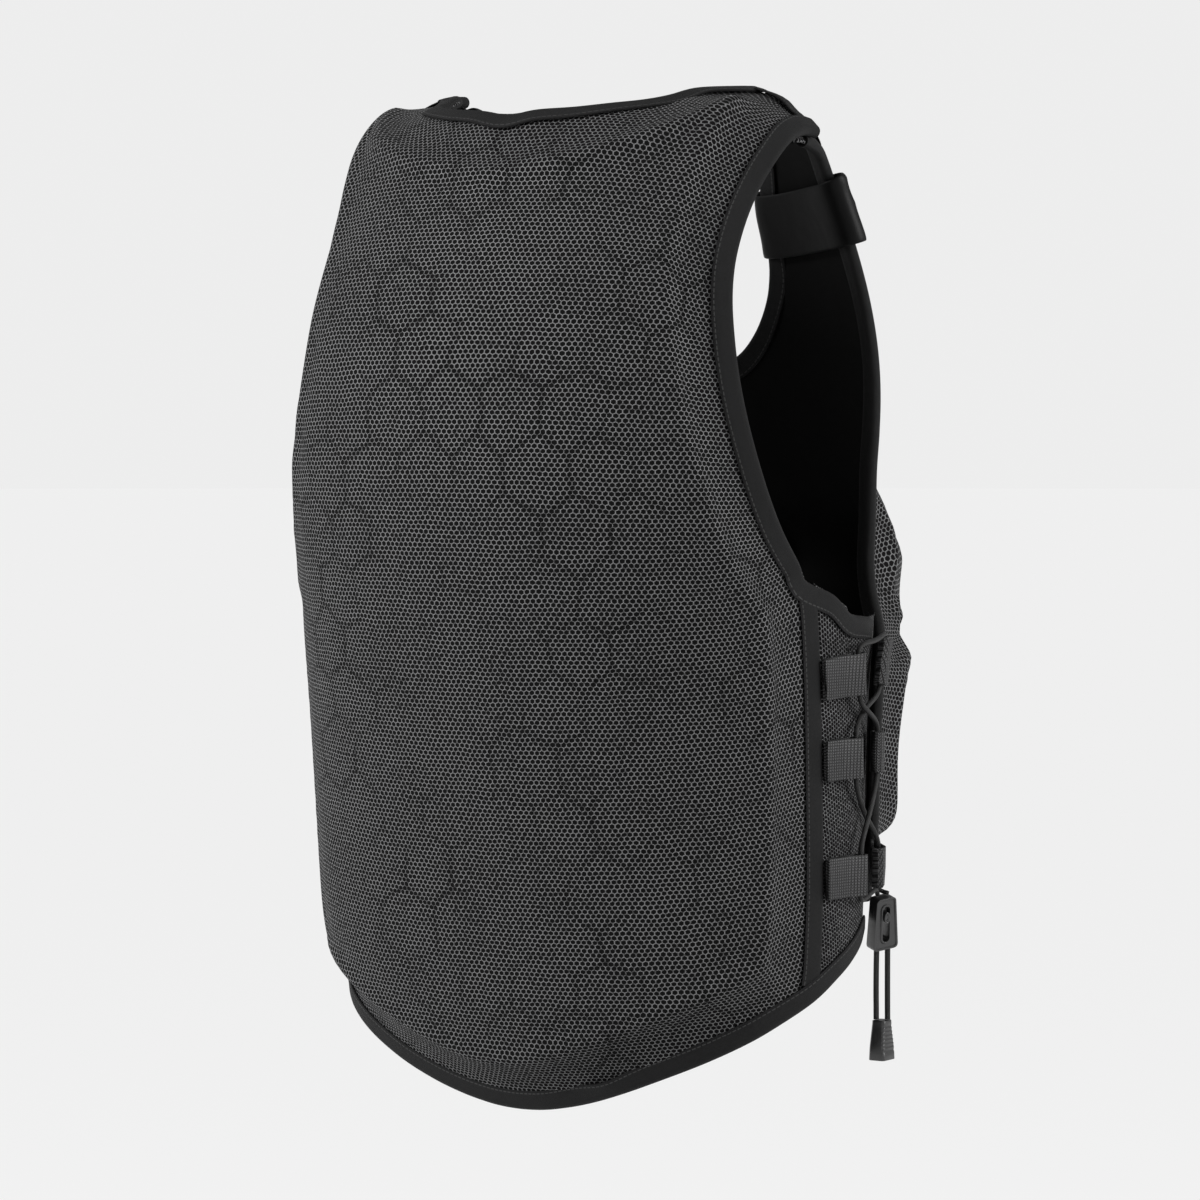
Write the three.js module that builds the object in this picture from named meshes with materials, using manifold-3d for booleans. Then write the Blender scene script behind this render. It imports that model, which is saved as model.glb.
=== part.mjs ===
// A body protector for riding: a padded mesh vest, shown in the shape that it has when it is worn.
// Millimetres, +Z up. The wearer faces -Y, and the wearer's left side is +X.
// The origin is where the vest sits: midway between the undersides of its two shoulder straps.
// The pieces of one side are worked out for the wearer's left and mirrored to the right.

import * as THREE from "three";
import Module from "manifold-3d";

const wasm = await Module();
wasm.setup();

// The body inside the vest
const backLength = 588; // shoulder line to the lowest point of the tail
const chestHalfWidth = 184;
const chestBackDepth = 133;
const chestFrontDepth = 116;
const underarmDown = 200; // depth below the shoulder line where the surface starts to close in
const shoulderCrown = 14; // height of the closed top of the body form above the shoulder line
const sectionPower = 2.2; // 2 is an ellipse, more is squarer
const riseScale = 150; // mm of rise for each radian over the shoulder

// Foam and cloth
const padThickness = 22;
const strapPadThickness = 11;
const frontStrapThickness = 6;
const flangeThickness = 4; // cover and lining where no foam lies between them
const flangeWidth = 13; // kept flat, so that the binding fits over it
const foamInset = 18; // from an edge to the foam
const frontFoamInset = 15;
const foamRoll = 24; // width of the rounded edge of the foam
const gussetThickness = 4;

// Clearances
const clothGap = 0.8; // between two soft pieces that lie on each other
const hardGap = 0.35; // between a hard piece and what it touches

// Binding tape, folded over an edge
const tapeThickness = 1.3;
const tapeWidth = 11; // how far it reaches over the panel
const tapeGap = 0.8; // between the tape and the edge inside it
const tapeOut = tapeGap + tapeThickness; // how far the tape stands out all round
const crossingLift = gussetThickness + tapeOut + clothGap; // lets a bound edge lie over another piece

// Shoulder adjustment
const lapReach = 44; // round the middle of the back strap's end, where it lies on the front strap
const lapLength = 30; // over which the back strap rises to it
const tabWidth = 40;
const tabThickness = 2.4;
const keeperThickness = 2;
const keeperRoom = 3;
const keeperLength = 42;
const keeperDown = 58; // along the front strap, from the end of the back one

// Lacing
const cordDiameter = 3.4;
const webbingWidth = 24;
const webbingThickness = 1.6;
const rearLoopReach = 33; // side seam to the eye of a rear loop
const frontLoopReach = 15; // front edge to the eye of a front loop
const lockWidth = 17.5;
const lockLength = 33;

const zipHalfGap = 3; // from the centre line to each front edge
const zipTapeWidth = 26;
const zipThickness = 2;

const black = (name, roughness, shade = 0x1b1b1c) =>
  new THREE.MeshStandardMaterial({ name, color: shade, roughness, metalness: 0 });
const meshCloth = black("mesh_cloth", 0.85, 0x2c2c2d);
const tapeCloth = black("tape_cloth", 0.8, 0x262626);
const flatCloth = black("flat_cloth", 0.8, 0x1e1e1f);
const webbing = black("webbing", 0.75, 0x222223);
const elastic = black("elastic_cord", 0.7, 0x2a2a2a);
const hardPlastic = black("hard_plastic", 0.38, 0x2b2b2c);

const lerp = THREE.MathUtils.lerp;
const ease = (t) => THREE.MathUtils.smoothstep(t, 0, 1);

// Horizontal sections of the body. down is a share of backLength below the shoulder line,
// and width, back and front are shares of the chest's half width and depths.
const bodySections = [
  { down: 1.06, width: 0.87, back: 0.52, front: 0.86 },
  { down: 1, width: 0.88, back: 0.6, front: 0.85 },
  { down: 0.92, width: 0.905, back: 0.7, front: 0.84 },
  { down: 0.77, width: 0.925, back: 0.78, front: 0.86 },
  { down: 0.62, width: 0.93, back: 0.87, front: 0.88 },
  { down: 0.46, width: 0.955, back: 0.98, front: 1.02 },
  { down: 0.34, width: 1.02, back: 1.025, front: 0.965 },
  { down: 0.22, width: 1, back: 0.985, front: 0.84 },
  { down: 0.136, width: 0.95, back: 0.9, front: 0.73 },
  { down: 0.068, width: 0.875, back: 0.84, front: 0.6 },
  { down: 0.034, width: 0.81, back: 0.8, front: 0.49 },
  { down: 0.014, width: 0.735, back: 0.76, front: 0.42 },
  { down: 0, width: 0.655, back: 0.71, front: 0.36 },
  { down: -shoulderCrown / backLength, width: 0.42, back: 0.5, front: 0.25 },
];

function slopeAt(k, name) {
  const a = bodySections[Math.max(k - 1, 0)];
  const b = bodySections[Math.min(k + 1, bodySections.length - 1)];
  return (b[name] - a[name]) / (b.down - a.down);
}

// The body's half width and depths at a height, as a smooth curve through the sections.
function sectionAt(z) {
  const first = bodySections[0].down;
  const last = bodySections[bodySections.length - 1].down;
  const down = THREE.MathUtils.clamp(-z / backLength, last, first);
  let k = 0;
  while (k < bodySections.length - 2 && bodySections[k + 1].down > down) k++;
  const a = bodySections[k];
  const b = bodySections[k + 1];
  const step = b.down - a.down;
  const t = (down - a.down) / step;
  const curve = (name) =>
    a[name] * (1 + 2 * t) * (1 - t) ** 2 +
    slopeAt(k, name) * step * t * (1 - t) ** 2 +
    b[name] * t * t * (3 - 2 * t) +
    slopeAt(k + 1, name) * step * t * t * (t - 1);
  return {
    width: chestHalfWidth * curve("width"),
    back: chestBackDepth * curve("back"),
    front: chestFrontDepth * curve("front"),
  };
}

// Below 1 inside the body, 1 on its surface and above 1 outside.
function bodyField(x, y, z) {
  if (z >= shoulderCrown) return 10;
  const s = sectionAt(z);
  const depth = y > 0 ? s.back : s.front;
  return Math.abs(x / s.width) ** sectionPower + Math.abs(y / depth) ** sectionPower;
}

function bisect(inside, low, high) {
  for (let n = 0; n < 40; n++) {
    const middle = (low + high) / 2;
    if (inside(middle)) low = middle;
    else high = middle;
  }
  return (low + high) / 2;
}

// A point of the body's surface. turn is the angle from the centre back towards the wearer's left,
// and rise is the height above the underarm, measured on over the shoulder.
function bodyPoint({ turn, rise }) {
  const base = -underarmDown;
  const elevation = Math.max(0, rise) / riseScale;
  const start = base + Math.min(0, rise);
  const aim = new THREE.Vector3(
    Math.sin(turn) * Math.cos(elevation),
    Math.cos(turn) * Math.cos(elevation),
    Math.sin(elevation),
  );
  const reach = bisect((r) => bodyField(aim.x * r, aim.y * r, start + aim.z * r) < 1, 0, 500);
  return aim.multiplyScalar(reach).add(new THREE.Vector3(0, 0, start));
}

function bodyNormal(p) {
  const h = 0.5;
  const slope = (dx, dy, dz) =>
    bodyField(p.x + dx, p.y + dy, p.z + dz) - bodyField(p.x - dx, p.y - dy, p.z - dz);
  return new THREE.Vector3(slope(h, 0, 0), slope(0, h, 0), slope(0, 0, h)).normalize();
}

function turnAndRise(p) {
  const above = p.z + underarmDown;
  const rise = above <= 0 ? above : riseScale * Math.atan2(above, Math.hypot(p.x, p.y));
  return { turn: Math.atan2(p.x, p.y), rise };
}

// Points of the surface that a side view, a front view and a top view show at two coordinates.
function seenFromSide(y, z) {
  const s = sectionAt(z);
  const rest = 1 - Math.abs(y / (y > 0 ? s.back : s.front)) ** sectionPower;
  return turnAndRise(new THREE.Vector3(s.width * rest ** (1 / sectionPower), y, z));
}

function seenFromFront(x, z) {
  const s = sectionAt(z);
  const rest = 1 - Math.abs(x / s.width) ** sectionPower;
  return turnAndRise(new THREE.Vector3(x, -s.front * rest ** (1 / sectionPower), z));
}

function seenFromAbove(x, y) {
  const z = bisect((h) => bodyField(x, y, h) < 1, -underarmDown, shoulderCrown);
  return turnAndRise(new THREE.Vector3(x, y, z));
}

// Outlines of the panels on the wearer's left. Each row pairs a place on the inner border with one
// on the outer border. down is a share of backLength, forward, back and across are shares of the
// chest's front depth, back depth and half width.
const backRows = [
  { inner: { down: 1.002 }, outer: { back: 0.18, down: 0.88 } },
  { inner: { down: 0.765 }, outer: { back: 0.175, down: 0.765 } },
  { inner: { down: 0.561 }, outer: { back: 0.22, down: 0.561 } },
  { inner: { down: 0.483 }, outer: { back: 0.28, down: 0.48 } },
  { inner: { down: 0.41 }, outer: { back: 0.385, down: 0.438 } },
  { inner: { down: 0.33 }, outer: { back: 0.51, down: 0.383 } },
  { inner: { down: 0.24 }, outer: { back: 0.615, down: 0.298 } },
  { inner: { down: 0.13 }, outer: { back: 0.625, down: 0.218 } },
  { inner: { across: 0, back: 0.69 }, outer: { back: 0.575, down: 0.152 } },
  { inner: { across: 0.28, back: 0.6 }, outer: { back: 0.43, down: 0.082 } },
  { inner: { across: 0.45, back: 0.35 }, outer: { back: 0.18, down: 0.033 } },
  { inner: { across: 0.5, back: -0.05 }, outer: { back: -0.05, down: 0.026 } },
];
const backSeamRow = 3; // the side seam meets the armhole here
const backNeckRow = 8; // the centre line meets the neckline here

const frontRows = [
  { inner: { down: 0.73 }, outer: { forward: 0.5, down: 0.795 } },
  { inner: { down: 0.65 }, outer: { forward: 0.34, down: 0.7 } },
  { inner: { down: 0.57 }, outer: { forward: 0.335, down: 0.58 } },
  { inner: { down: 0.5 }, outer: { forward: 0.43, down: 0.525 } },
  { inner: { down: 0.43 }, outer: { forward: 0.645, down: 0.49 } },
  { inner: { down: 0.36 }, outer: { forward: 0.73, down: 0.45 } },
  { inner: { down: 0.3 }, outer: { forward: 0.715, down: 0.395 } },
  { inner: { down: 0.255 }, outer: { forward: 0.61, down: 0.317 } },
  { inner: { across: 0.2, down: 0.24 }, outer: { forward: 0.5, down: 0.245 } },
  { inner: { across: 0.355, down: 0.18 }, outer: { forward: 0.45, down: 0.18 } },
  { inner: { across: 0.393, down: 0.126 }, outer: { forward: 0.4, down: 0.115 } },
  { inner: { across: 0.404, down: 0.071 }, outer: { forward: 0.3, down: 0.06 } },
  { inner: { across: 0.48, forward: 0.24 }, outer: { forward: 0.14, down: 0.034 } },
  { inner: { across: 0.5, forward: -0.1 }, outer: { forward: -0.1, down: 0.026 } },
];
const frontNeckRow = 7; // the centre edge meets the neckline here

function backPlace({ across = 0, back, down }, isInner) {
  if (isInner && down !== undefined) return turnAndRise(centreBack(-down * backLength));
  if (isInner) return seenFromAbove(across * chestHalfWidth, back * chestBackDepth);
  return seenFromSide(back * chestBackDepth, -down * backLength);
}

function centreBack(z) {
  return new THREE.Vector3(0, sectionAt(z).back, z);
}

function frontPlace({ across, forward, down }, isInner) {
  if (!isInner) return seenFromSide(-forward * chestFrontDepth, -down * backLength);
  if (down === undefined) {
    return seenFromAbove(across * chestHalfWidth, -forward * chestFrontDepth);
  }
  const x = across === undefined ? zipHalfGap : across * chestHalfWidth;
  return seenFromFront(x, -down * backLength);
}

// A smooth line through places on the surface, with corners where the named rows say so.
function borderLine(places, corners) {
  const stops = [0, ...corners, places.length - 1];
  const pieces = stops.slice(1).map((end, k) => {
    const points = places.slice(stops[k], end + 1);
    return new THREE.SplineCurve(points.map((p) => new THREE.Vector2(p.turn, p.rise)));
  });
  return (row) => {
    let k = 0;
    while (k < pieces.length - 1 && row > stops[k + 1]) k++;
    const share = (row - stops[k]) / (stops[k + 1] - stops[k]);
    const point = pieces[k].getPoint(THREE.MathUtils.clamp(share, 0, 1));
    return { turn: point.x, rise: point.y };
  };
}

const backLines = {
  inner: borderLine(backRows.map((r) => backPlace(r.inner, true)), [backNeckRow]),
  outer: borderLine(backRows.map((r) => backPlace(r.outer, false)), [backSeamRow]),
};
const frontLines = {
  inner: borderLine(frontRows.map((r) => frontPlace(r.inner, true)), [frontNeckRow]),
  outer: borderLine(frontRows.map((r) => frontPlace(r.outer, false)), []),
};

// The hem drops in a soft S from the side to the tail, which fades out above it.
function betweenBorders(lines, row, share) {
  const a = lines.inner(row);
  const b = lines.outer(row);
  const bent = lerp(0.5 * (share ** 2 + share ** 3), share, ease(row));
  return { turn: lerp(a.turn, b.turn, share), rise: lerp(a.rise, b.rise, bent) };
}

// Where the grid lines of a panel lie, from its inner border at 0 to its outer border at 1.
const edgeSteps = [0, flangeWidth, flangeWidth + 0.4 * foamRoll, flangeWidth + foamRoll];
const middleSteps = [0.25, 0.5, 0.75];
function columnShares(lines, row, hasInnerEdge) {
  const length = bodyPoint(lines.inner(row)).distanceTo(bodyPoint(lines.outer(row)));
  const widest = edgeSteps[edgeSteps.length - 1];
  const sharesFrom = (slant) => {
    const fit = Math.min(1, length / 2.2 / (widest * slant));
    return edgeSteps.map((d) => Math.max(d * fit, Math.min(d, flangeWidth)) * slant / length);
  };
  const outer = sharesFrom(slantOf(lines, "outer", row)).map((d) => 1 - d).reverse();
  const edge = hasInnerEdge ? slantOf(lines, "inner", row) : 1;
  const near = sharesFrom(edge);
  const plain = near.map((_, k) => (k * near[near.length - 1]) / (near.length - 1));
  const inner = hasInnerEdge ? near : plain;
  const last = inner[inner.length - 1];
  return [...inner, ...middleSteps.map((m) => lerp(last, outer[0], m)), ...outer];
}

// How much longer the way in from a border is along a row than straight across the border.
function slantOf(lines, border, row) {
  const h = 0.04;
  const low = bodyPoint(lines[border](row - h));
  const high = bodyPoint(lines[border](row + h));
  const [edge, next] = border === "inner" ? [0, h] : [1, 1 - h];
  const along = high.sub(low).normalize();
  const at = (share) => bodyPoint(betweenBorders(lines, row, share));
  const across = at(next).sub(at(edge));
  return Math.min(1.7, 1 / across.normalize().cross(along).length());
}

// A sheet is points on the body with quads between them. Left and right halves share a point
// where their keys are alike.
function newSheet() {
  return { points: new Map(), quads: [] };
}

function addPoint(sheet, key, place, mirror) {
  if (!sheet.points.has(key)) {
    const foot = bodyPoint(place);
    const normal = bodyNormal(foot);
    if (mirror) {
      foot.x *= -1;
      normal.x *= -1;
    }
    sheet.points.set(key, { foot, normal, place });
  }
  return key;
}

function panelSheet({ lines, rows, neckRow, sides, joined }) {
  const sheet = newSheet();
  sheet.keys = {};
  for (const side of sides) {
    sheet.keys[side] = rows.map((row) => {
      const shares = columnShares(lines, row, !joined || row > neckRow);
      return shares.map((share, k) => {
        const centre = joined && k === 0 && row <= neckRow;
        const key = centre ? `c${row}` : `${side}${row}_${k}`;
        return addPoint(sheet, key, betweenBorders(lines, row, share), side === "right");
      });
    });
    const grid = sheet.keys[side];
    for (let r = 0; r + 1 < grid.length; r++) {
      for (let k = 0; k + 1 < grid[r].length; k++) {
        const quad = [grid[r][k], grid[r][k + 1], grid[r + 1][k + 1], grid[r + 1][k]];
        sheet.quads.push(side === "right" ? quad.reverse() : quad);
      }
    }
  }
  return sheet;
}

function rimEdges(sheet) {
  const seen = new Set(sheet.quads.flatMap((q) => q.map((a, k) => `${a}|${q[(k + 1) % 4]}`)));
  return [...seen].map((e) => e.split("|")).filter(([a, b]) => !seen.has(`${b}|${a}`));
}

// Gives each point its distance from the sheet's rim.
function measureRim(sheet) {
  const footOf = (key) => sheet.points.get(key).foot;
  const rim = rimEdges(sheet).map(([a, b]) => new THREE.Line3(footOf(a), footOf(b)));
  const near = new THREE.Vector3();
  for (const p of sheet.points.values()) {
    const distances = rim.map((edge) => edge.closestPointToPoint(p.foot, true, near).distanceTo(p.foot));
    p.fromRim = Math.min(...distances);
  }
}

// lift and thickness are functions of a point, in mm along the body's normal.
function layOn(sheet, lift, thickness) {
  for (const p of sheet.points.values()) {
    p.inner = p.foot.clone().addScaledVector(p.normal, lift(p));
    p.outer = p.inner.clone().addScaledVector(p.normal, thickness(p));
  }
}

function signedVolume(positions, triangles) {
  const at = (k) => new THREE.Vector3().fromArray(positions, 3 * k);
  return triangles.reduce(
    (sum, [a, b, c]) => sum + at(a).dot(at(b).cross(at(c))) / 6,
    0,
  );
}

// A closed surface from its points and triangles, turned so that its faces point out.
function closedGeometry(points, triangles) {
  const positions = points.flatMap((p) => [p.x, p.y, p.z]);
  const insideOut = signedVolume(positions, triangles) < 0;
  const turned = insideOut ? triangles.map((t) => [...t].reverse()) : triangles;
  const geometry = new THREE.BufferGeometry();
  geometry.setAttribute("position", new THREE.Float32BufferAttribute(positions, 3));
  geometry.setIndex(turned.flat());
  geometry.computeVertexNormals();
  return geometry;
}

function thicken(sheet) {
  const keys = [...sheet.points.keys()];
  const index = new Map(keys.map((key, k) => [key, k]));
  const count = keys.length;
  const points = [...sheet.points.values()].map((p) => p.outer);
  points.push(...[...sheet.points.values()].map((p) => p.inner));
  const triangles = [];
  const addQuad = (a, b, c, d) => triangles.push([a, b, c], [a, c, d]);
  for (const quad of sheet.quads) {
    const [a, b, c, d] = quad.map((key) => index.get(key));
    addQuad(a, b, c, d);
    triangles.push([c + count, b + count, a + count], [d + count, c + count, a + count]);
  }
  for (const [from, to] of rimEdges(sheet)) {
    const [a, b] = [index.get(from), index.get(to)];
    addQuad(b, a, a + count, b + count);
  }
  return closedGeometry(points, triangles);
}

// Joins rings of points into a closed solid. flat is the ring's outline, used to close its ends.
function skin(rings, flat) {
  const sides = flat.length;
  const triangles = [];
  for (let f = 0; f + 1 < rings.length; f++) {
    for (let s = 0; s < sides; s++) {
      const a = f * sides + s;
      const b = f * sides + ((s + 1) % sides);
      triangles.push([a, b, b + sides], [a, b + sides, a + sides]);
    }
  }
  const far = (rings.length - 1) * sides;
  const corners = flat.map(([a, u]) => new THREE.Vector2(a, u));
  const turned = THREE.ShapeUtils.isClockWise(corners);
  for (const cap of THREE.ShapeUtils.triangulateShape(corners, [])) {
    const near = turned ? [...cap] : [...cap].reverse();
    triangles.push(near, near.map((k) => k + far).reverse());
  }
  return closedGeometry(rings.flat(), triangles);
}

// A sleeve: rings round its outside and its inside, joined at both ends.
function hollowSkin(outside, inside) {
  const sides = outside[0].length;
  const triangles = [];
  const addBand = (start, count, facesOut) => {
    for (let f = 0; f < count; f++) {
      for (let n = 0; n < sides; n++) {
        const a = start + f * sides + n;
        const b = start + f * sides + ((n + 1) % sides);
        const pair = [[a, b, b + sides], [a, b + sides, a + sides]];
        triangles.push(...(facesOut ? pair : pair.map((t) => t.reverse())));
      }
    }
  };
  const turn = outside.length * sides;
  addBand(0, outside.length - 1, true);
  addBand(turn, inside.length - 1, false);
  const last = (outside.length - 1) * sides;
  for (let n = 0; n < sides; n++) {
    const next = (n + 1) % sides;
    triangles.push([next, n, n + turn], [next, n + turn, next + turn]);
    triangles.push([last + n, last + next, last + n + turn]);
    triangles.push([last + n + turn, last + next, last + next + turn]);
  }
  return closedGeometry([...outside.flat(), ...inside.flat()], triangles);
}

// A point of the body's surface, reached from another one in a direction along it.
function walk(foot, direction, distance) {
  const p = foot.clone().addScaledVector(direction, distance);
  for (let n = 0; n < 6; n++) {
    const normal = bodyNormal(p);
    const field = bodyField(p.x, p.y, p.z);
    const ahead = p.clone().add(normal);
    const slope = bodyField(ahead.x, ahead.y, ahead.z) - field;
    p.addScaledVector(normal, (1 - field) / slope);
  }
  return p;
}

// Carries a flat outline of [distance from the edge, height over the body] along an edge.
// Each stop of the edge is { foot, inside }, where inside is a place on the piece's own side.
function alongEdge(stops, outline, lift) {
  return skin(placersOf(stops, lift).map((place) => outline.map(([d, h]) => place(d, h))), outline);
}

function placersOf(stops, lift) {
  return stops.map(({ foot, inside }, k) => {
    const before = stops[Math.max(k - 1, 0)].foot;
    const after = stops[Math.min(k + 1, stops.length - 1)].foot;
    const inward = bodyNormal(foot).cross(after.clone().sub(before)).normalize();
    if (inward.dot(inside.clone().sub(foot)) < 0) inward.negate();
    return (distance, height) => {
      const p = walk(foot, inward, distance);
      return p.clone().addScaledVector(bodyNormal(p), lift(p) + height);
    };
  });
}

// Cuts a length off the start of an edge, and trimmed off both of its ends.
function shortened(stops, length) {
  const rest = [...stops];
  let left = length;
  while (rest.length > 2 && rest[0].foot.distanceTo(rest[1].foot) < left + 1) {
    left -= rest[0].foot.distanceTo(rest[1].foot);
    rest.shift();
  }
  const way = rest[1].foot.clone().sub(rest[0].foot).normalize();
  const { foot, inside } = rest[0];
  rest[0] = { foot: walk(foot, way, left), inside: inside.clone().addScaledVector(way, left) };
  return rest;
}

function trimmed(stops, atStart, atEnd) {
  return shortened(shortened(stops, atStart).reverse(), atEnd).reverse();
}

// The folded tape round an edge, open towards the panel.
const tapeOutline = [
  [tapeWidth, flangeThickness + tapeOut],
  [-tapeOut, flangeThickness + tapeOut],
  [-tapeOut, -tapeOut],
  [tapeWidth, -tapeOut],
  [tapeWidth, -tapeGap],
  [-tapeGap, -tapeGap],
  [-tapeGap, flangeThickness + tapeGap],
  [tapeWidth, flangeThickness + tapeGap],
];

function solidOf(geometry) {
  const vertProperties = new Float32Array(geometry.attributes.position.array);
  const triVerts = new Uint32Array(geometry.index.array);
  return new wasm.Manifold(new wasm.Mesh({ numProp: 3, vertProperties, triVerts }));
}

// Cuts a piece where it would come nearer than clothGap to a neighbour made by closedGeometry.
function clearOf(geometry, neighbour) {
  const grown = neighbour.clone();
  const { position, normal } = grown.attributes;
  for (let k = 0; k < position.array.length; k++) {
    position.array[k] += 0.5 * clothGap * normal.array[k];
  }
  const pieces = solidOf(geometry).subtract(solidOf(grown)).decompose();
  const largest = pieces.reduce((a, b) => (b.volume() > a.volume() ? b : a));
  const { vertProperties, triVerts } = largest.getMesh();
  const cut = new THREE.BufferGeometry();
  cut.setAttribute("position", new THREE.Float32BufferAttribute(vertProperties, 3));
  cut.setIndex([...triVerts]);
  cut.computeVertexNormals();
  return cut;
}

const part = new THREE.Group();
const shapes = {};
function addPiece(name, geometry, material) {
  const mesh = new THREE.Mesh(geometry, material.clone());
  mesh.name = name;
  shapes[name] = geometry;
  part.add(mesh);
}

// How far each front stands off the body inside its edges. standOff is a share of padThickness.
const frontStandOff = [
  { down: 0.36, standOff: 0 },
  { down: 0.45, standOff: 1.55 },
  { down: 0.5, standOff: 1.4 },
  { down: 0.57, standOff: 0.15 },
  { down: 0.62, standOff: 0 },
  { down: 0.66, standOff: 0 },
  { down: 0.72, standOff: 0.25 },
  { down: 0.8, standOff: 0.25 },
];
function standOffAt(z) {
  const down = -z / backLength;
  const k = frontStandOff.findIndex((row) => row.down > down);
  if (k < 1) return frontStandOff.at(k < 0 ? -1 : 0).standOff;
  const [a, b] = [frontStandOff[k - 1], frontStandOff[k]];
  return lerp(a.standOff, b.standOff, ease((down - a.down) / (b.down - a.down)));
}

// Panels
const backGridRows = [
  0, 0.18, 0.3, 0.45, 0.7, 1, 1.5, 2, 2.5, 3, 3.5, 4, 4.5, 5, 5.5, 6, 6.5, 7, 7.5,
  8, 8.4, 8.8, 9.2, 9.6, 10, 10.4, 10.7, 11,
];
const frontGridRows = [
  0, 0.3, 0.5, 0.75, 1, 1.5, 2, 2.4, 2.8, 3.2, 3.6, 4, 4.5, 5, 5.5, 6, 6.5, 7, 7.5,
  8, 8.5, 9, 9.5, 10, 10.5, 11, 11.5, 12, 12.5, 13,
];
const lastBackRow = backRows.length - 1;
const lastFrontRow = frontRows.length - 1;

const strapDown = 0.05; // where each strap has its own thickness, as a share of backLength
const backThinDown = 0.2; // and where the back and the fronts start to thin towards it
const frontThinDown = 0.43;
function thicknessAt(z, strap, thinDown) {
  const share = (-z / backLength - strapDown) / (thinDown - strapDown);
  return lerp(strap, padThickness, ease(share));
}
const padded = (inset, roll, strap, thinDown) => (p) => {
  const full = thicknessAt(p.foot.z, strap, thinDown);
  return lerp(flangeThickness, full, ease((p.fromRim - inset) / roll));
};

const backSheet = panelSheet({
  lines: backLines, rows: backGridRows, neckRow: backNeckRow, sides: ["left", "right"], joined: true,
});
measureRim(backSheet);
const backStrapEnd = bodyPoint(betweenBorders(backLines, lastBackRow, 0.5));
function backLift(foot) {
  const { x, y, z } = backStrapEnd;
  const away = Math.hypot(Math.abs(foot.x) - x, foot.y - y, foot.z - z);
  return foot.z < -underarmDown ? 0 : crossingLift * ease((lapReach + lapLength - away) / lapLength);
}
layOn(backSheet, (p) => backLift(p.foot), padded(foamInset, foamRoll, strapPadThickness, backThinDown));
addPiece("back_panel", thicken(backSheet), meshCloth);

const frontSheets = {};
const frontRoll = 0.7 * foamRoll;
function frontLift(foot) {
  return crossingLift * ease((-foot.z - underarmDown) / 50);
}
for (const side of ["right", "left"]) {
  const sheet = panelSheet({
    lines: frontLines, rows: frontGridRows, neckRow: frontNeckRow, sides: [side], joined: false,
  });
  measureRim(sheet);
  const bulge = (p) => padThickness * standOffAt(p.foot.z) * ease((p.fromRim - frontFoamInset) / frontRoll);
  const foam = padded(frontFoamInset, frontRoll, frontStrapThickness, frontThinDown);
  layOn(sheet, (p) => frontLift(p.foot) + bulge(p), foam);
  addPiece(`front_panel_${side}`, thicken(sheet), meshCloth);
  frontSheets[side] = sheet;
}

// Edges of the panels, as lists of stops for their bindings
function stopsOf(sheet, pairs) {
  const footOf = (key) => sheet.points.get(key).foot;
  return pairs.map(([rim, inside]) => ({ foot: footOf(rim), inside: footOf(inside) }));
}

function borderStops(sheet, side, rows, from, to, atOuter) {
  const pairs = [];
  rows.forEach((row, r) => {
    if (row < from || row > to) return;
    const keys = sheet.keys[side][r];
    const rim = atOuter ? keys.length - 1 : 0;
    pairs.push([keys[rim], keys[atOuter ? rim - 1 : 1]]);
  });
  return stopsOf(sheet, pairs);
}

function crossStops(sheet, side, row, nextRow) {
  return stopsOf(sheet, sheet.keys[side][row].map((key, k) => [key, sheet.keys[side][nextRow][k]]));
}

// Side gussets: from the side seam to a line under the edge of each front
const gussetRows = [
  { forward: 0.5, down: 0.8 },
  { forward: 0.5, down: 0.72 },
  { forward: 0.5, down: 0.6 },
  { forward: 0.5, down: 0.498 },
];
const gussetDip = 5; // how far its top edge hangs under the arm
const seamAllowance = tapeOut + clothGap; // from the side seam to the gusset's own edge
const gussetFront = borderLine(gussetRows.map((r) => frontPlace(r, false)), []);
function gussetPlace(row, share) {
  const rear = backLines.outer(row);
  const front = gussetFront(row);
  const start = seamAllowance / chestHalfWidth;
  const dip = gussetDip * 4 * share * (1 - share) * ease((row - 2) / (backSeamRow - 2));
  return {
    turn: lerp(rear.turn + start, front.turn, share),
    rise: lerp(rear.rise, front.rise, share) - dip,
  };
}

const gussetGridRows = [0, 0.35, 0.7, 1, 1.5, 2, 2.5, 3];
const gussetShares = [0, 0.18, 0.36, 0.54, 0.7, 0.85, 1];
const gussetSheets = {};
for (const side of ["right", "left"]) {
  const sheet = newSheet();
  sheet.keys = { [side]: [] };
  for (const row of gussetGridRows) {
    const keys = gussetShares.map((share, k) =>
      addPoint(sheet, `${side}${row}_${k}`, gussetPlace(row, share), side === "right"),
    );
    sheet.keys[side].push(keys);
  }
  const grid = sheet.keys[side];
  for (let r = 0; r + 1 < grid.length; r++) {
    for (let k = 0; k + 1 < grid[r].length; k++) {
      sheet.quads.push([grid[r][k], grid[r][k + 1], grid[r + 1][k + 1], grid[r + 1][k]]);
    }
  }
  layOn(sheet, () => 0, () => gussetThickness);
  addPiece(`side_gusset_${side}`, thicken(sheet), meshCloth);
  gussetSheets[side] = sheet;
}

// Bindings
const sides = ["right", "left"];
const noLift = () => 0;
function bind(name, stops, lift, ...panels) {
  const whole = alongEdge(stops, tapeOutline, lift);
  addPiece(name, panels.reduce((tape, panel) => clearOf(tape, shapes[panel]), whole), tapeCloth);
}
const crossing = tapeWidth + clothGap; // a tape stops this far from an edge that another one covers
const cornerRoom = 3; // and a little further where that edge turns
const lastGussetTape = gussetShares.findIndex((share) => share >= 0.7); // the front hides the rest
const strapOverlap = bodyPoint(betweenBorders(frontLines, lastFrontRow, 0.5)).distanceTo(backStrapEnd);

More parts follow.
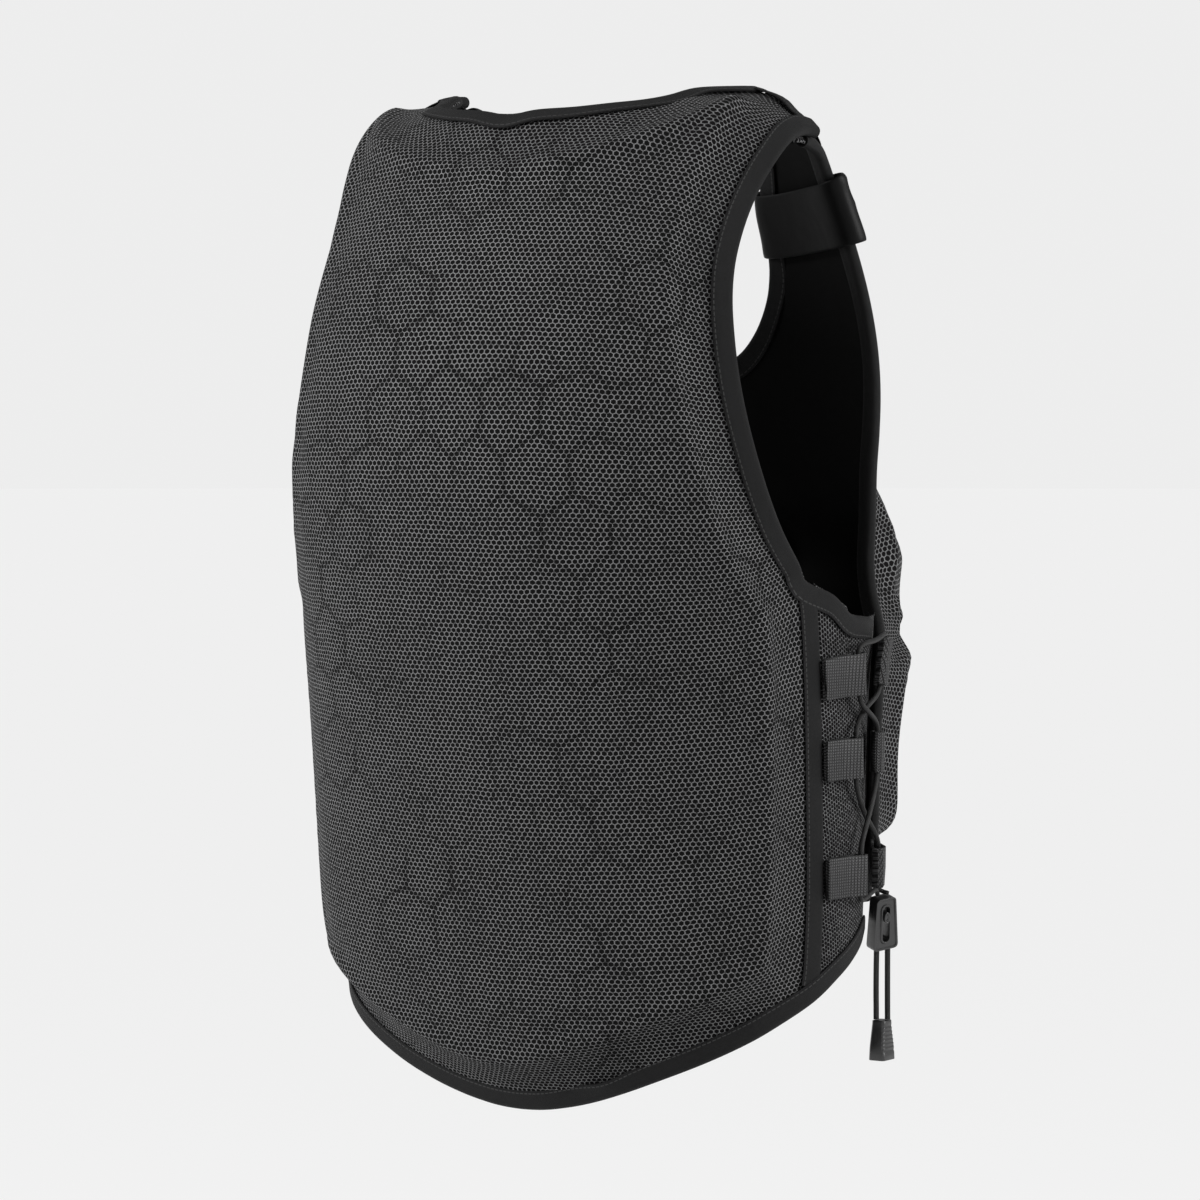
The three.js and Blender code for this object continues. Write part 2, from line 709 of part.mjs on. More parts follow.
function gussetStops(side, row, nextRow) {
  return crossStops(gussetSheets[side], side, row, nextRow).slice(0, lastGussetTape + 1);
}

const hemStops = { right: [], left: [] };
for (const side of sides) {
  const back = crossStops(backSheet, side, 0, 1);
  hemStops[side] = [...back, ...gussetStops(side, 0, 1)];
}
const wholeHem = [...hemStops.right.slice(1).reverse(), ...hemStops.left];
bind("hem_binding", wholeHem, noLift, "back_panel");

const lastRow = backGridRows.length - 1;
const neckStops = (side) => borderStops(backSheet, side, backGridRows, backNeckRow, lastBackRow, false);
const neckCentre = {
  foot: neckStops("left")[0].foot,
  inside: backSheet.points.get(`c${backNeckRow - 0.5}`).foot,
};
const wholeNeck = [...neckStops("right").slice(1).reverse(), neckCentre, ...neckStops("left").slice(1)];
bind("neck_binding_back", trimmed(wholeNeck, crossing, crossing), backLift, "back_panel");

for (const side of sides) {
  const lastGussetRow = gussetGridRows.length - 1;
  const underArm = gussetStops(side, lastGussetRow, lastGussetRow - 1).reverse();
  const upBack = borderStops(backSheet, side, backGridRows, backSeamRow, lastBackRow, true);
  bind(`armhole_binding_${side}`, trimmed([...underArm, ...upBack], 0, crossing), backLift, "back_panel");
  bind(`strap_end_binding_${side}`, crossStops(backSheet, side, lastRow, lastRow - 1), backLift);
  const seam = borderStops(backSheet, side, backGridRows, 0, backSeamRow, true);
  bind(`side_binding_${side}`, trimmed(seam, crossing + cornerRoom, crossing + 2 * cornerRoom), noLift);

  const front = frontSheets[side];
  const frontHem = crossStops(front, side, 0, 1);
  const frontSide = borderStops(front, side, frontGridRows, 0, lastFrontRow, true).slice(1);
  const hidden = strapOverlap + tapeOut + clothGap;
  const frontEdge = trimmed([...frontHem, ...frontSide], 0, hidden);
  bind(`front_binding_${side}`, frontEdge, frontLift, `front_panel_${side}`);
  const frontNeck = borderStops(front, side, frontGridRows, frontNeckRow, lastFrontRow, false);
  bind(`front_neck_binding_${side}`, trimmed(frontNeck, 0, hidden), frontLift, `front_panel_${side}`);
}

// Front zip: its tape lies inside the two front edges, and its teeth stand up between them
const zipTop = -frontRows[frontNeckRow].inner.down * backLength - crossing;
const zipBottom = -frontRows[0].inner.down * backLength + crossing;
const zipSteps = 10;
const zipStops = Array.from({ length: zipSteps + 1 }, (_, k) => {
  const z = lerp(zipBottom, zipTop, k / zipSteps);
  const foot = new THREE.Vector3(0, -sectionAt(z).front, z);
  return { foot, inside: foot.clone().setX(1) };
});
const teethHalf = zipHalfGap - clothGap;
const zipUnder = -clothGap - zipThickness;
const zipOutline = [
  [-zipTapeWidth / 2, zipUnder],
  [zipTapeWidth / 2, zipUnder],
  [zipTapeWidth / 2, -clothGap],
  [teethHalf, -clothGap],
  [teethHalf, flangeThickness],
  [-teethHalf, flangeThickness],
  [-teethHalf, -clothGap],
  [-zipTapeWidth / 2, -clothGap],
];
addPiece("front_zip", alongEdge(zipStops, zipOutline, frontLift), flatCloth);

// Shoulder tab and keeper. They follow the front strap: row runs along it, and across is measured
// from its middle towards the neck.
function strapPoint(side, row, across, height) {
  const inner = bodyPoint(frontLines.inner(row));
  const outer = bodyPoint(frontLines.outer(row));
  const share = 0.5 - across / inner.distanceTo(outer);
  const foot = bodyPoint(betweenBorders(frontLines, row, share));
  const p = foot.clone().addScaledVector(bodyNormal(foot), height);
  if (side === "right") p.x *= -1;
  return p;
}
const strapHalf = (row) => bodyPoint(frontLines.inner(row)).distanceTo(bodyPoint(frontLines.outer(row))) / 2;

// The row of the front strap that lies a length along it from another row.
function rowAlong(from, length) {
  const at = (row) => bodyPoint(betweenBorders(frontLines, row, 0.5));
  return bisect((back) => at(from).distanceTo(at(from - back)) < length, 0, 6);
}
const strapStart = lastFrontRow - rowAlong(lastFrontRow, strapOverlap + tapeOut + cornerRoom);
function strapTop(row) {
  const { z } = bodyPoint(betweenBorders(frontLines, row, 0.5));
  return thicknessAt(z, frontStrapThickness, frontThinDown) + clothGap;
}
const keeperStart = strapStart - rowAlong(strapStart, keeperDown);
const keeperEnd = keeperStart - rowAlong(keeperStart, keeperLength);
const tabEnd = keeperStart - rowAlong(keeperStart, 1.15 * keeperLength);
const evenly = (a, b, count) => Array.from({ length: count + 1 }, (_, k) => lerp(a, b, k / count));

for (const side of sides) {
  const half = tabWidth / 2;
  const tabStart = lerp(crossingLift, strapTop(strapStart), 0.3);
  const tabRings = evenly(strapStart, tabEnd, 12).map((row, k) => {
    const low = lerp(tabStart, strapTop(row), ease(k / 3));
    return [-half, -half / 3, half / 3, half, half, half / 3, -half / 3, -half].map((across, n) =>
      strapPoint(side, row, across, n < 4 ? low : low + tabThickness),
    );
  });
  const tabOutline = tabRings[0].map((_, n) => [n < 4 ? n : 7 - n, n < 4 ? 0 : 1]);
  addPiece(`shoulder_tab_${side}`, skin(tabRings, tabOutline), flatCloth);

  const ringAt = (row, grow) => {
    const wide = strapHalf(row) + tapeOut + keeperRoom + grow;
    const low = -tapeOut - keeperRoom / 2 - grow;
    const high = strapTop(row) + tabThickness + keeperRoom / 2 + grow;
    const spread = [-1, -0.5, 0, 0.5, 1];
    const under = spread.map((share) => strapPoint(side, row, share * wide, low));
    return [...under, ...spread.reverse().map((share) => strapPoint(side, row, share * wide, high))];
  };
  const rows = evenly(keeperStart, keeperEnd, 4);
  const outside = rows.map((row) => ringAt(row, keeperThickness));
  const inside = rows.map((row) => ringAt(row, 0));
  addPiece(`shoulder_keeper_${side}`, hollowSkin(outside, inside), flatCloth);
}

// Side lacing: each row has a rear loop on the gusset and a front loop on the front's edge.
// down is a share of backLength, and reach a share of rearLoopReach.
const laceRoom = 3.5; // how far the cord runs on past a loop before it turns
const laceSteps = 54;
const lockBelow = 7; // the lock's top, under the lowest front loop
const lockStandOff = 3.5; // and out from the line of its eye
const lockBack = 6; // and behind it
const laceRows = [
  { rear: 0.56, front: 0.552, reach: 1.12 },
  { rear: 0.642, front: 0.637, reach: 1 },
  { rear: 0.76, front: 0.748, reach: 1.12 },
];
const eyeRoom = 1.3; // round the cord where the webbing folds over it
const eyeRadius = cordDiameter / 2 + eyeRoom;
const loopFold = eyeRadius + webbingThickness;
const rearHeight = gussetThickness + 2 * clothGap;
const frontHeight = crossingLift + hardGap;

// A strip of webbing folded in two round an eye, seen from its edge.
function loopOutline(start, reach, height) {
  const centre = reach - loopFold;
  const middle = height + loopFold;
  const arc = (radius, from, to) =>
    evenly(from, to, 4).map((turn) => [centre + radius * Math.cos(turn), middle + radius * Math.sin(turn)]);
  const pinch = Math.max(start + webbingThickness, centre - 2.5 * loopFold);
  const upper = height + webbingThickness + clothGap / 2;
  return [
    [start, height],
    ...arc(loopFold, -Math.PI / 2, Math.PI / 2),
    [pinch, upper + webbingThickness],
    [start, upper + webbingThickness],
    [start, upper],
    [pinch, upper],
    ...arc(eyeRadius, Math.PI / 2, -Math.PI / 2),
    [start, height + webbingThickness],
  ];
}

// Stops for a loop, up a line of the vest round a height, with the loop reaching towards ahead.
function loopStops(side, lineAt, low, high, z, ahead) {
  return [-0.5, 0, 0.5].map((share) => {
    const at = z + share * webbingWidth;
    const row = bisect((r) => bodyPoint(lineAt(r)).z < at, low, high);
    const foot = bodyPoint(lineAt(row));
    if (side === "right") foot.x *= -1;
    return { foot, inside: foot.clone().add(new THREE.Vector3(0, ahead, 0)) };
  });
}

// Where the cord runs in the fold of a loop.
function eyeLine(stops, reach, height) {
  return placersOf(stops, noLift).map((place) => place(reach - loopFold, height + loopFold));
}

const tubeShape = new THREE.Shape(
  evenly(0, 2 * Math.PI, 8).slice(0, 8).map((turn) =>
    new THREE.Vector2(Math.cos(turn), Math.sin(turn)).multiplyScalar(cordDiameter / 2),
  ),
);
function cord(points, steps) {
  const path = new THREE.CatmullRomCurve3(points, false, "centripetal");
  return new THREE.ExtrudeGeometry(tubeShape, { steps, extrudePath: path, bevelEnabled: false });
}

// The lock and the grip of each side, in their own frames: across towards the front, up, and out
const lockDepth = 8;
const lockTop = 0.8; // its width at the top, as a share
const lockLean = THREE.MathUtils.degToRad(16);
const lockTurn = THREE.MathUtils.degToRad(60); // its slotted face looks out and to the rear
const lockCorner = 3;
const slotLength = 23;
const sliderWidth = 4.3;
const sliderLength = 7.5;
const sliderProud = 1.2;
const sliderPlace = 0.31; // from the top of the slot, as a share of its length
const strandSpacing = 8;
const gripWidth = 15;
const gripHeight = 24;
const gripDepth = 11;
const gripRibs = 7;
const ribDepth = 0.7;
const gripChamfer = 1.5;
const gripTurn = THREE.MathUtils.degToRad(33); // its ribbed face looks out and to the rear
const gripOutline = [[-1, -0.8], [-0.8, -1], [0.8, -1], [1, -0.8], [1, 0.8], [0.8, 1], [-0.8, 1], [-1, 0.8]];
const tailDrop = 43;
// Ways of the two tails below the lock, as shares of tailDrop: down, and towards the front
const tailRoutes = [
  [
    { down: 0, along: 0 },
    { down: 0.3, along: 0.06 },
    { down: 0.6, along: 0.08 },
    { down: 0.8, along: 0.05 },
    { down: 1, along: 0.03 },
  ],
  [
    { down: 0, along: 0 },
    { down: 0.3, along: 0 },
    { down: 0.65, along: -0.01 },
    { down: 1, along: -0.04 },
  ],
];

function lockOutline() {
  const low = lockWidth / 2;
  const high = low * lockTop;
  const y = lockLength / 2;
  const r = lockCorner;
  const shape = new THREE.Shape();
  shape.moveTo(-low + r, -y);
  shape.lineTo(low - r, -y);
  shape.quadraticCurveTo(low, -y, low, -y + r);
  shape.lineTo(high, y - r);
  shape.quadraticCurveTo(high, y, high - r, y);
  shape.lineTo(-high + r, y);
  shape.quadraticCurveTo(-high, y, -high, y - r);
  shape.lineTo(-low, -y + r);
  shape.quadraticCurveTo(-low, -y, -low + r, -y);
  const half = sliderWidth / 2 + hardGap;
  const straight = slotLength / 2 - half;
  const slot = new THREE.Path();
  slot.absarc(0, straight, half, 0, Math.PI);
  slot.absarc(0, -straight, half, Math.PI, 2 * Math.PI);
  slot.closePath();
  shape.holes.push(slot);
  return shape;
}

const placedAt = (geometry, frame, centre) =>
  geometry.applyMatrix4(new THREE.Matrix4().makeBasis(frame.across, frame.up, frame.out).setPosition(centre));

for (const side of sides) {
  const eyes = laceRows.map(({ rear, front, reach }, n) => {
    const rearReach = rearLoopReach * reach;
    const rearStops = loopStops(side, backLines.outer, 0, backSeamRow, -rear * backLength, -1);
    const frontStops = loopStops(side, frontLines.outer, 0.3, 5, -front * backLength, 1);
    const rearOutline = loopOutline(seamAllowance + clothGap, rearReach, rearHeight);
    const frontOutline = loopOutline(seamAllowance, frontLoopReach, frontHeight);
    addPiece(`lace_loop_rear_${n + 1}_${side}`, alongEdge(rearStops, rearOutline, noLift), webbing);
    addPiece(`lace_loop_front_${n + 1}_${side}`, alongEdge(frontStops, frontOutline, noLift), webbing);
    return {
      rear: eyeLine(rearStops, rearReach, rearHeight),
      front: eyeLine(frontStops, frontLoopReach, frontHeight),
    };
  });

  const third = eyes[2];
  const out = bodyNormal(third.front[1]).setZ(0).normalize();
  const forward = new THREE.Vector3(0, -1, 0).addScaledVector(out, out.y).normalize();
  const up = new THREE.Vector3(0, 0, Math.cos(lockLean)).addScaledVector(forward, -Math.sin(lockLean));
  const rearward = forward.clone().multiplyScalar(Math.sin(lockTurn));
  const lockOut = out.clone().multiplyScalar(Math.cos(lockTurn)).sub(rearward);
  const across = up.clone().cross(lockOut).normalize();
  const frame = { across, up, out: across.clone().cross(up) };
  const towardsFront = across.dot(forward) > 0 ? 1 : -1;
  const lockHead = third.front[0].clone().addScaledVector(up, -lockBelow).addScaledVector(out, lockStandOff);
  lockHead.addScaledVector(forward, -lockBack);
  const lockCentre = lockHead.clone().addScaledVector(up, -lockLength / 2);
  const lockBody = new THREE.ExtrudeGeometry(lockOutline(), {
    depth: lockDepth, bevelEnabled: false, curveSegments: 4,
  });
  lockBody.translate(0, 0, -lockDepth / 2);
  addPiece(`cord_lock_${side}`, placedAt(lockBody, frame, lockCentre), hardPlastic);

  const slider = new THREE.CylinderGeometry(1, 1, 1, 14);
  slider.scale(sliderWidth / 2, lockDepth + sliderProud, sliderLength / 2);
  slider.rotateX(Math.PI / 2);
  slider.translate(0, slotLength * (0.5 - sliderPlace), sliderProud / 2);
  addPiece(`lock_slider_${side}`, placedAt(slider, frame, lockCentre), hardPlastic);

  // The cord: up the loops of one side and down those of the other, crossing between the rows
  const [front, rear] = ["front", "rear"].map((name) => eyes.map((eye) => eye[name]));
  const beyond = (a, b) => a.clone().lerp(b, 1 + laceRoom / (webbingWidth / 2));
  const through = ([low, middle, high]) => [beyond(middle, low), low, middle, high, beyond(middle, high)];
  const downThrough = (eye) => through(eye).reverse();
  const between = (a, b, height) => {
    const foot = walk(a.clone().lerp(b, 0.5), out, 0);
    return foot.clone().addScaledVector(bodyNormal(foot), height);
  };
  const under = gussetThickness + clothGap + cordDiameter / 2;
  const over = under + cordDiameter + clothGap;
  const entry = (sign) => lockHead.clone().addScaledVector(across, (sign * towardsFront * strandSpacing) / 2);
  const head = (sign, gap) => entry(sign).addScaledVector(up, gap);
  const route = [
    head(-1, 2 * clothGap),
    head(-1, 6),
    ...through(rear[2]),
    between(rear[2][2], front[1][0], over),
    ...through(front[1]),
    between(front[1][2], rear[0][0], over),
    ...through(rear[0]),
    between(through(rear[0]).at(-1), through(front[0]).at(-1), over),
    ...downThrough(front[0]),
    between(front[0][0], rear[1][2], under),
    ...downThrough(rear[1]),
    between(rear[1][0], front[2][2], under),
    ...downThrough(front[2]),
    head(1, 2 * clothGap),
  ];
  addPiece(`lace_cord_${side}`, cord(route, laceSteps), elastic);

  const gripTop = lockHead.clone().addScaledVector(up, -lockLength - hardGap);
  gripTop.z -= tailDrop;
  tailRoutes.forEach((stops, n) => {
    const sign = n === 0 ? -1 : 1;
    const start = entry(sign).addScaledVector(up, -lockLength - clothGap);
    const points = stops.map(({ down, along }) => {
      const p = start.clone().addScaledVector(forward, along * tailDrop);
      p.z = lerp(start.z, gripTop.z, down);
      return p;
    });
    addPiece(`tail_cord_${n + 1}_${side}`, cord(points, 7), elastic);
  });

  // The grip is wider at its foot, with ribs across its outer face
  const turned = (a, b, share) => a.clone().multiplyScalar(Math.cos(gripTurn)).addScaledVector(b, share);
  const gripOut = turned(out, forward, -Math.sin(gripTurn));
  const gripAcross = turned(forward, out, Math.sin(gripTurn));
  const gripRings = evenly(0, 1, 2 * gripRibs + 6).map((share, k) => {
    const rib = k > 2 && k < 2 * gripRibs + 3 && k % 2 === 1 ? ribDepth : 0;
    const w = (gripWidth / 2) * lerp(0.72, 1, ease(share * 1.3));
    const d = (gripDepth / 2) * lerp(0.8, 1, share);
    const z = -share * gripHeight - hardGap;
    return gripOutline.map(([a, o]) => {
      const acrossIn = Math.abs(a) < 1 ? gripChamfer : 0;
      const depthIn = Math.abs(o) < 1 ? gripChamfer : 0;
      const furrow = o === 1 ? rib : 0;
      return gripTop
        .clone()
        .addScaledVector(gripAcross, Math.sign(a) * (w - acrossIn))
        .addScaledVector(gripOut, Math.sign(o) * (d - depthIn - furrow))
        .setZ(gripTop.z + z);
    });
  });
  addPiece(`cord_end_${side}`, skin(gripRings, gripOutline), hardPlastic);
}

export default part;
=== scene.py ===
"""The finished pieces of a padded riding vest, made on the frame of its solids."""

import math

import bmesh
import bpy
import numpy as np
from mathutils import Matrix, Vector


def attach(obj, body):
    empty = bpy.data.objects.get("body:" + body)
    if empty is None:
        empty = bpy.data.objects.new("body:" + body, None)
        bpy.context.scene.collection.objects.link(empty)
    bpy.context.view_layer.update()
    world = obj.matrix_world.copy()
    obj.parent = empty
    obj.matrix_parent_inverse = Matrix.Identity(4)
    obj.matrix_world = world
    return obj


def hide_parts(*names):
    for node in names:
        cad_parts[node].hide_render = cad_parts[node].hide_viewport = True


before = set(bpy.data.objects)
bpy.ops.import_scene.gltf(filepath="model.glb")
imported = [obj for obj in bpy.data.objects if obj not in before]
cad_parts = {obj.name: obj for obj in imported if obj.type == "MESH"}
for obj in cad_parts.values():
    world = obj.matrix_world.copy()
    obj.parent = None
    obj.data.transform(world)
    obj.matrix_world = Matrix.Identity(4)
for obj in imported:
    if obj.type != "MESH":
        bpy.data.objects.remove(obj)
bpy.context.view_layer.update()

bl_info = {
    "name": "Riding Body Protector",
    "version": (1, 0, 0),
    "blender": (4, 5, 0),
    "location": "View3D > Sidebar > Body Protector",
    "description": "Makes the cloth, foam, tape, lacing and locks of a padded riding vest",
    "category": "Add Mesh",
}

SIDES = ("right", "left")
BODY = "vest"
CLOTH_MAP = "cloth"

# Corners of the panels and other places on their edges, on the wearer's left, in metres
PLACES = {
    "back hem": (0.16, 0.024, -0.52),
    "back seam top": (0.175, 0.037, -0.272),
    "back strap outside": (0.16, -0.006, -0.012),
    "back strap inside": (0.09, -0.006, 0.012),
    "gusset low rear": (0.16, 0.03, -0.52),
    "gusset low front": (0.15, -0.06, -0.47),
    "gusset top rear": (0.175, 0.036, -0.284),
    "gusset top front": (0.17, -0.06, -0.29),
    "front hem inside": (0.003, -0.12, -0.43),
    "front hem outside": (0.16, -0.06, -0.47),
    "front strap outside": (0.16, 0.012, -0.012),
    "front strap inside": (0.09, 0.012, 0.012),
    "front neck": (0.003, -0.1, -0.15),
}

# The two cord tails under the left lock, in metres: where each leaves the lock, and how low both reach.
# Their stops are shares: of the whole way down, and of the drop towards the front
TAIL_STARTS = {1: (0.1635165, -0.0550134, -0.496689), 2: (0.1669417, -0.0621533, -0.4955536)}
TAIL_FOOT = -0.5386888
TAIL_DROP = 0.043
TAIL_FORWARD = (-0.56457, -0.82539, 0)
TAIL_STOPS = {
    1: ((0, 0), (0.3, 0.06), (0.6, 0.08), (0.8, 0.05), (1, 0.03)),
    2: ((0, 0), (0.3, 0), (0.65, -0.01), (1, -0.04)),
}
TAIL_STATIONS = 16


def colour(name, description, shade):
    return bpy.props.FloatVectorProperty(
        name=name, description=description, subtype="COLOR", size=3, min=0, max=1, default=shade
    )


def length(name, description, default):
    return bpy.props.FloatProperty(
        name=name, description=description, unit="LENGTH", subtype="DISTANCE", min=0, default=default
    )


def power(name, description, default):
    return bpy.props.FloatProperty(name=name, description=description, unit="POWER", default=default)


class VestClothSettings(bpy.types.PropertyGroup):
    """Colours and patterns of the cloth."""

    thread: colour("Thread", "Colour of the mesh cover's yarn", (0.13, 0.13, 0.132))
    foam: colour("Foam", "What shows through the holes of the mesh", (0.001, 0.001, 0.001))
    lining: colour("Lining", "Colour of the smooth inside", (0.0022, 0.0022, 0.0022))
    tape: colour("Tape", "Colour of the binding tape", (0.006, 0.006, 0.0062))
    webbing: colour("Webbing", "Colour of the lacing loops", (0.066, 0.066, 0.067))
    flat: colour("Flat cloth", "Colour of the tabs and keepers", (0.0025, 0.0025, 0.0026))
    cord: colour("Cord", "Colour of the elastic cord", (0.012, 0.012, 0.012))
    mesh_pitch: length("Mesh pitch", "Between two holes of the mesh", 0.0035)
    gusset_pitch: length("Gusset pitch", "Between two holes of the finer mesh of the sides", 0.0027)
    cell_pitch: length("Foam cell", "Between two cells of the foam", 0.039)
    ridge: length("Foam ridge", "How far the foam's edge stands up", 0.0036)
    ridge_inset: length("Ridge inset", "From an edge to the foam's ridge", 0.04)
    ridge_width: length("Ridge width", "How far the ridge spreads to each side", 0.007)


class VestTrimSettings(bpy.types.PropertyGroup):
    """Sizes of the tape, the cord and the hard pieces."""

    tape_reach: length("Tape reach", "How far the binding covers a panel", 0.0108)
    tape_inner: length("Tape inner half", "From the edge's middle to the tape's inner face", 0.0024)
    tape_outer: length("Tape outer half", "From the edge's middle to the tape's outer face", 0.0037)
    stitch_pitch: length("Stitch", "From one stitch to the next", 0.0032)
    cord_diameter: length("Cord diameter", "Thickness of the elastic cord", 0.0034)
    hard_bevel: length("Hard edge", "Rounding of the hard pieces' edges", 0.0007)
    small_bevel: length("Small edge", "Rounding of the slider, the grip and the zip", 0.0004)
    webbing_bevel: length("Webbing edge", "Rounding of the loops' edges", 0.0003)
    step_inset: length("Step inset", "From the lock's edge to the step in its faces", 0.0009)
    step_width: length("Step width", "Breadth of the step's slope", 0.0005)
    step_depth: length("Step depth", "How deep the lock's faces are sunk", 0.0007)
    insert_inset: length("Insert inset", "From the slider's edge to its insert", 0.0006)
    insert_rim: length("Insert rim", "Breadth of the insert's rim, in and out", 0.0004)
    plastic: colour("Plastic", "Colour of the lock and the grip", (0.008, 0.008, 0.0082))
    metal: colour("Metal", "Colour of the slider's insert", (0.55, 0.55, 0.56))


class VestStageSettings(bpy.types.PropertyGroup):
    """The floor, the lights and the camera."""

    floor: colour("Floor", "Colour of the floor", (0.1, 0.1, 0.1))
    air: colour("Air", "Colour of the light all round", (0.85, 0.85, 0.85))
    key: power("Key light", "Power of the main light", 105)
    around: bpy.props.FloatProperty(
        name="Surroundings", description="How bright the air is as a light, as a share", subtype="FACTOR",
        default=0.45,
    )
    fill: power("Fill light", "Power of the side light", 80)
    lens: bpy.props.FloatProperty(name="Lens", description="Focal length of the camera in mm", default=148)


# Selecting and finishing


def only(piece):
    """Selects one object alone and makes it the active one."""
    bpy.ops.object.select_all(action="DESELECT")
    piece.select_set(True)
    bpy.context.view_layer.objects.active = piece


def edit_all(piece, mode="VERT"):
    """Opens one object's mesh with everything selected."""
    only(piece)
    bpy.ops.object.mode_set(mode="EDIT")
    bpy.ops.mesh.select_mode(type=mode)
    bpy.ops.mesh.select_all(action="SELECT")


def edit_faces(piece, wanted):
    """Opens one object's mesh with the wanted faces selected."""
    edit_all(piece, "FACE")
    bpy.ops.mesh.select_all(action="DESELECT")
    form = bmesh.from_edit_mesh(piece.data)
    form.faces.index_update()
    for face in wanted(form):
        face.select = True
    bmesh.update_edit_mesh(piece.data)


def close_edit():
    bpy.ops.object.mode_set(mode="OBJECT")


def link_mesh(name, mesh):
    piece = bpy.data.objects.new(name, mesh)
    bpy.context.scene.collection.objects.link(piece)
    return piece


def take(node, quads=True):
    """A free copy of a solid, with its points joined."""
    piece = link_mesh("vest_" + node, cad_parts[node].data.copy())
    piece.data.materials.clear()
    edit_all(piece)
    bpy.ops.mesh.remove_doubles(threshold=1e-5)
    if quads:
        bpy.ops.mesh.tris_convert_to_quads(face_threshold=math.radians(60), shape_threshold=math.radians(80))
    close_edit()
    if piece.data.has_custom_normals:
        bpy.ops.mesh.customdata_custom_splitnormals_clear()
    return piece


def apply_modifier(piece, kind, **settings):
    only(piece)
    modifier = piece.modifiers.new(kind.title(), kind)
    for name, value in settings.items():
        setattr(modifier, name, value)
    bpy.ops.object.modifier_apply(modifier=modifier.name)


def smooth(piece, angle):
    only(piece)
    bpy.ops.object.shade_smooth_by_angle(angle=math.radians(angle))


def subdivide(piece, levels):
    apply_modifier(
        piece, "SUBSURF", levels=levels, render_levels=levels, boundary_smooth="PRESERVE_CORNERS",
        use_limit_surface=False,
    )


def place(piece, node, materials, body=BODY):
    """Gives a piece its materials and its body, and hides the solid of the node that it stands for."""
    for material in materials:
        piece.data.materials.append(material)
    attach(piece, body)
    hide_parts(node)
    return piece


def positions(piece):
    out = np.empty(len(piece.data.vertices) * 3)
    piece.data.vertices.foreach_get("co", out)
    return out.reshape(-1, 3)


def set_positions(piece, points):
    piece.data.vertices.foreach_set("co", points.ravel())
    piece.data.update()


def set_cloth_map(mesh, flat):
    """Writes the cloth map from one place for each point of the mesh."""
    corners = np.empty(len(mesh.loops), dtype=np.int32)
    mesh.loops.foreach_get("vertex_index", corners)
    mesh.uv_layers[CLOTH_MAP].data.foreach_set("uv", flat[corners].ravel())


def on_side(side, point):
    """A place given on the wearer's left, on the side asked for."""
    x, y, z = point
    return (x if side == "left" else -x, y, z)


# Nodes


def wire(tree, socket, value):
    if isinstance(value, bpy.types.NodeSocket):
        tree.links.new(value, socket)
    elif value is not None:
        socket.default_value = value


def calc(tree, operation, *values):
    node = tree.nodes.new("ShaderNodeMath")
    node.operation = operation
    for socket, value in zip(node.inputs, values):
        wire(tree, socket, value)
    return node.outputs[0]


def calc_vector(tree, operation, *values):
    node = tree.nodes.new("ShaderNodeVectorMath")
    node.operation = operation
    for socket, value in zip(node.inputs, values):
        wire(tree, socket, value)
    return node.outputs["Value" if operation in ("DOT_PRODUCT", "LENGTH") else "Vector"]


def step_between(tree, value, low, high, start=0.0, end=1.0):
    """Goes smoothly from start to end while value goes from low to high."""
    node = tree.nodes.new("ShaderNodeMapRange")
    node.interpolation_type = "SMOOTHSTEP"
    for socket, given in zip(node.inputs, (value, low, high, start, end)):
        wire(tree, socket, given)
    return node.outputs["Result"]


def blend_colours(tree, share, a, b):
    node = tree.nodes.new("ShaderNodeMix")
    node.data_type = "RGBA"
    wire(tree, node.inputs["Factor"], share)
    wire(tree, node.inputs[6], a if isinstance(a, bpy.types.NodeSocket) else (*a, 1))
    wire(tree, node.inputs[7], b if isinstance(b, bpy.types.NodeSocket) else (*b, 1))
    return node.outputs[2]


def noise(tree, vector, scale, detail=2.0, output="Fac"):
    node = tree.nodes.new("ShaderNodeTexNoise")
    wire(tree, node.inputs["Vector"], vector)
    node.inputs["Scale"].default_value = scale
    node.inputs["Detail"].default_value = detail
    return node.outputs[output]


def shaken(tree, vector, scale, reach):
    """Moves places about a little, so that a pattern on them isn't ruled."""
    shake = noise(tree, vector, scale, output="Color")
    return calc_vector(tree, "MULTIPLY_ADD", shake, (reach, reach, 0), vector)


def bump(tree, height, distance, strength=1.0):
    node = tree.nodes.new("ShaderNodeBump")
    node.inputs["Distance"].default_value = distance
    node.inputs["Strength"].default_value = strength
    wire(tree, node.inputs["Height"], height)
    return node.outputs["Normal"]


def object_point(tree):
    return tree.nodes.new("ShaderNodeTexCoord").outputs["Object"]


def cloth_point(tree):
    node = tree.nodes.new("ShaderNodeUVMap")
    node.uv_map = CLOTH_MAP
    return node.outputs["UV"]


def new_group(name, inputs, outputs):
    tree = bpy.data.node_groups.new(name, "ShaderNodeTree")
    for label, kind in inputs:
        tree.interface.new_socket(name=label, in_out="INPUT", socket_type=kind)
    for label, kind in outputs:
        tree.interface.new_socket(name=label, in_out="OUTPUT", socket_type=kind)
    return tree, tree.nodes.new("NodeGroupInput").outputs, tree.nodes.new("NodeGroupOutput").inputs


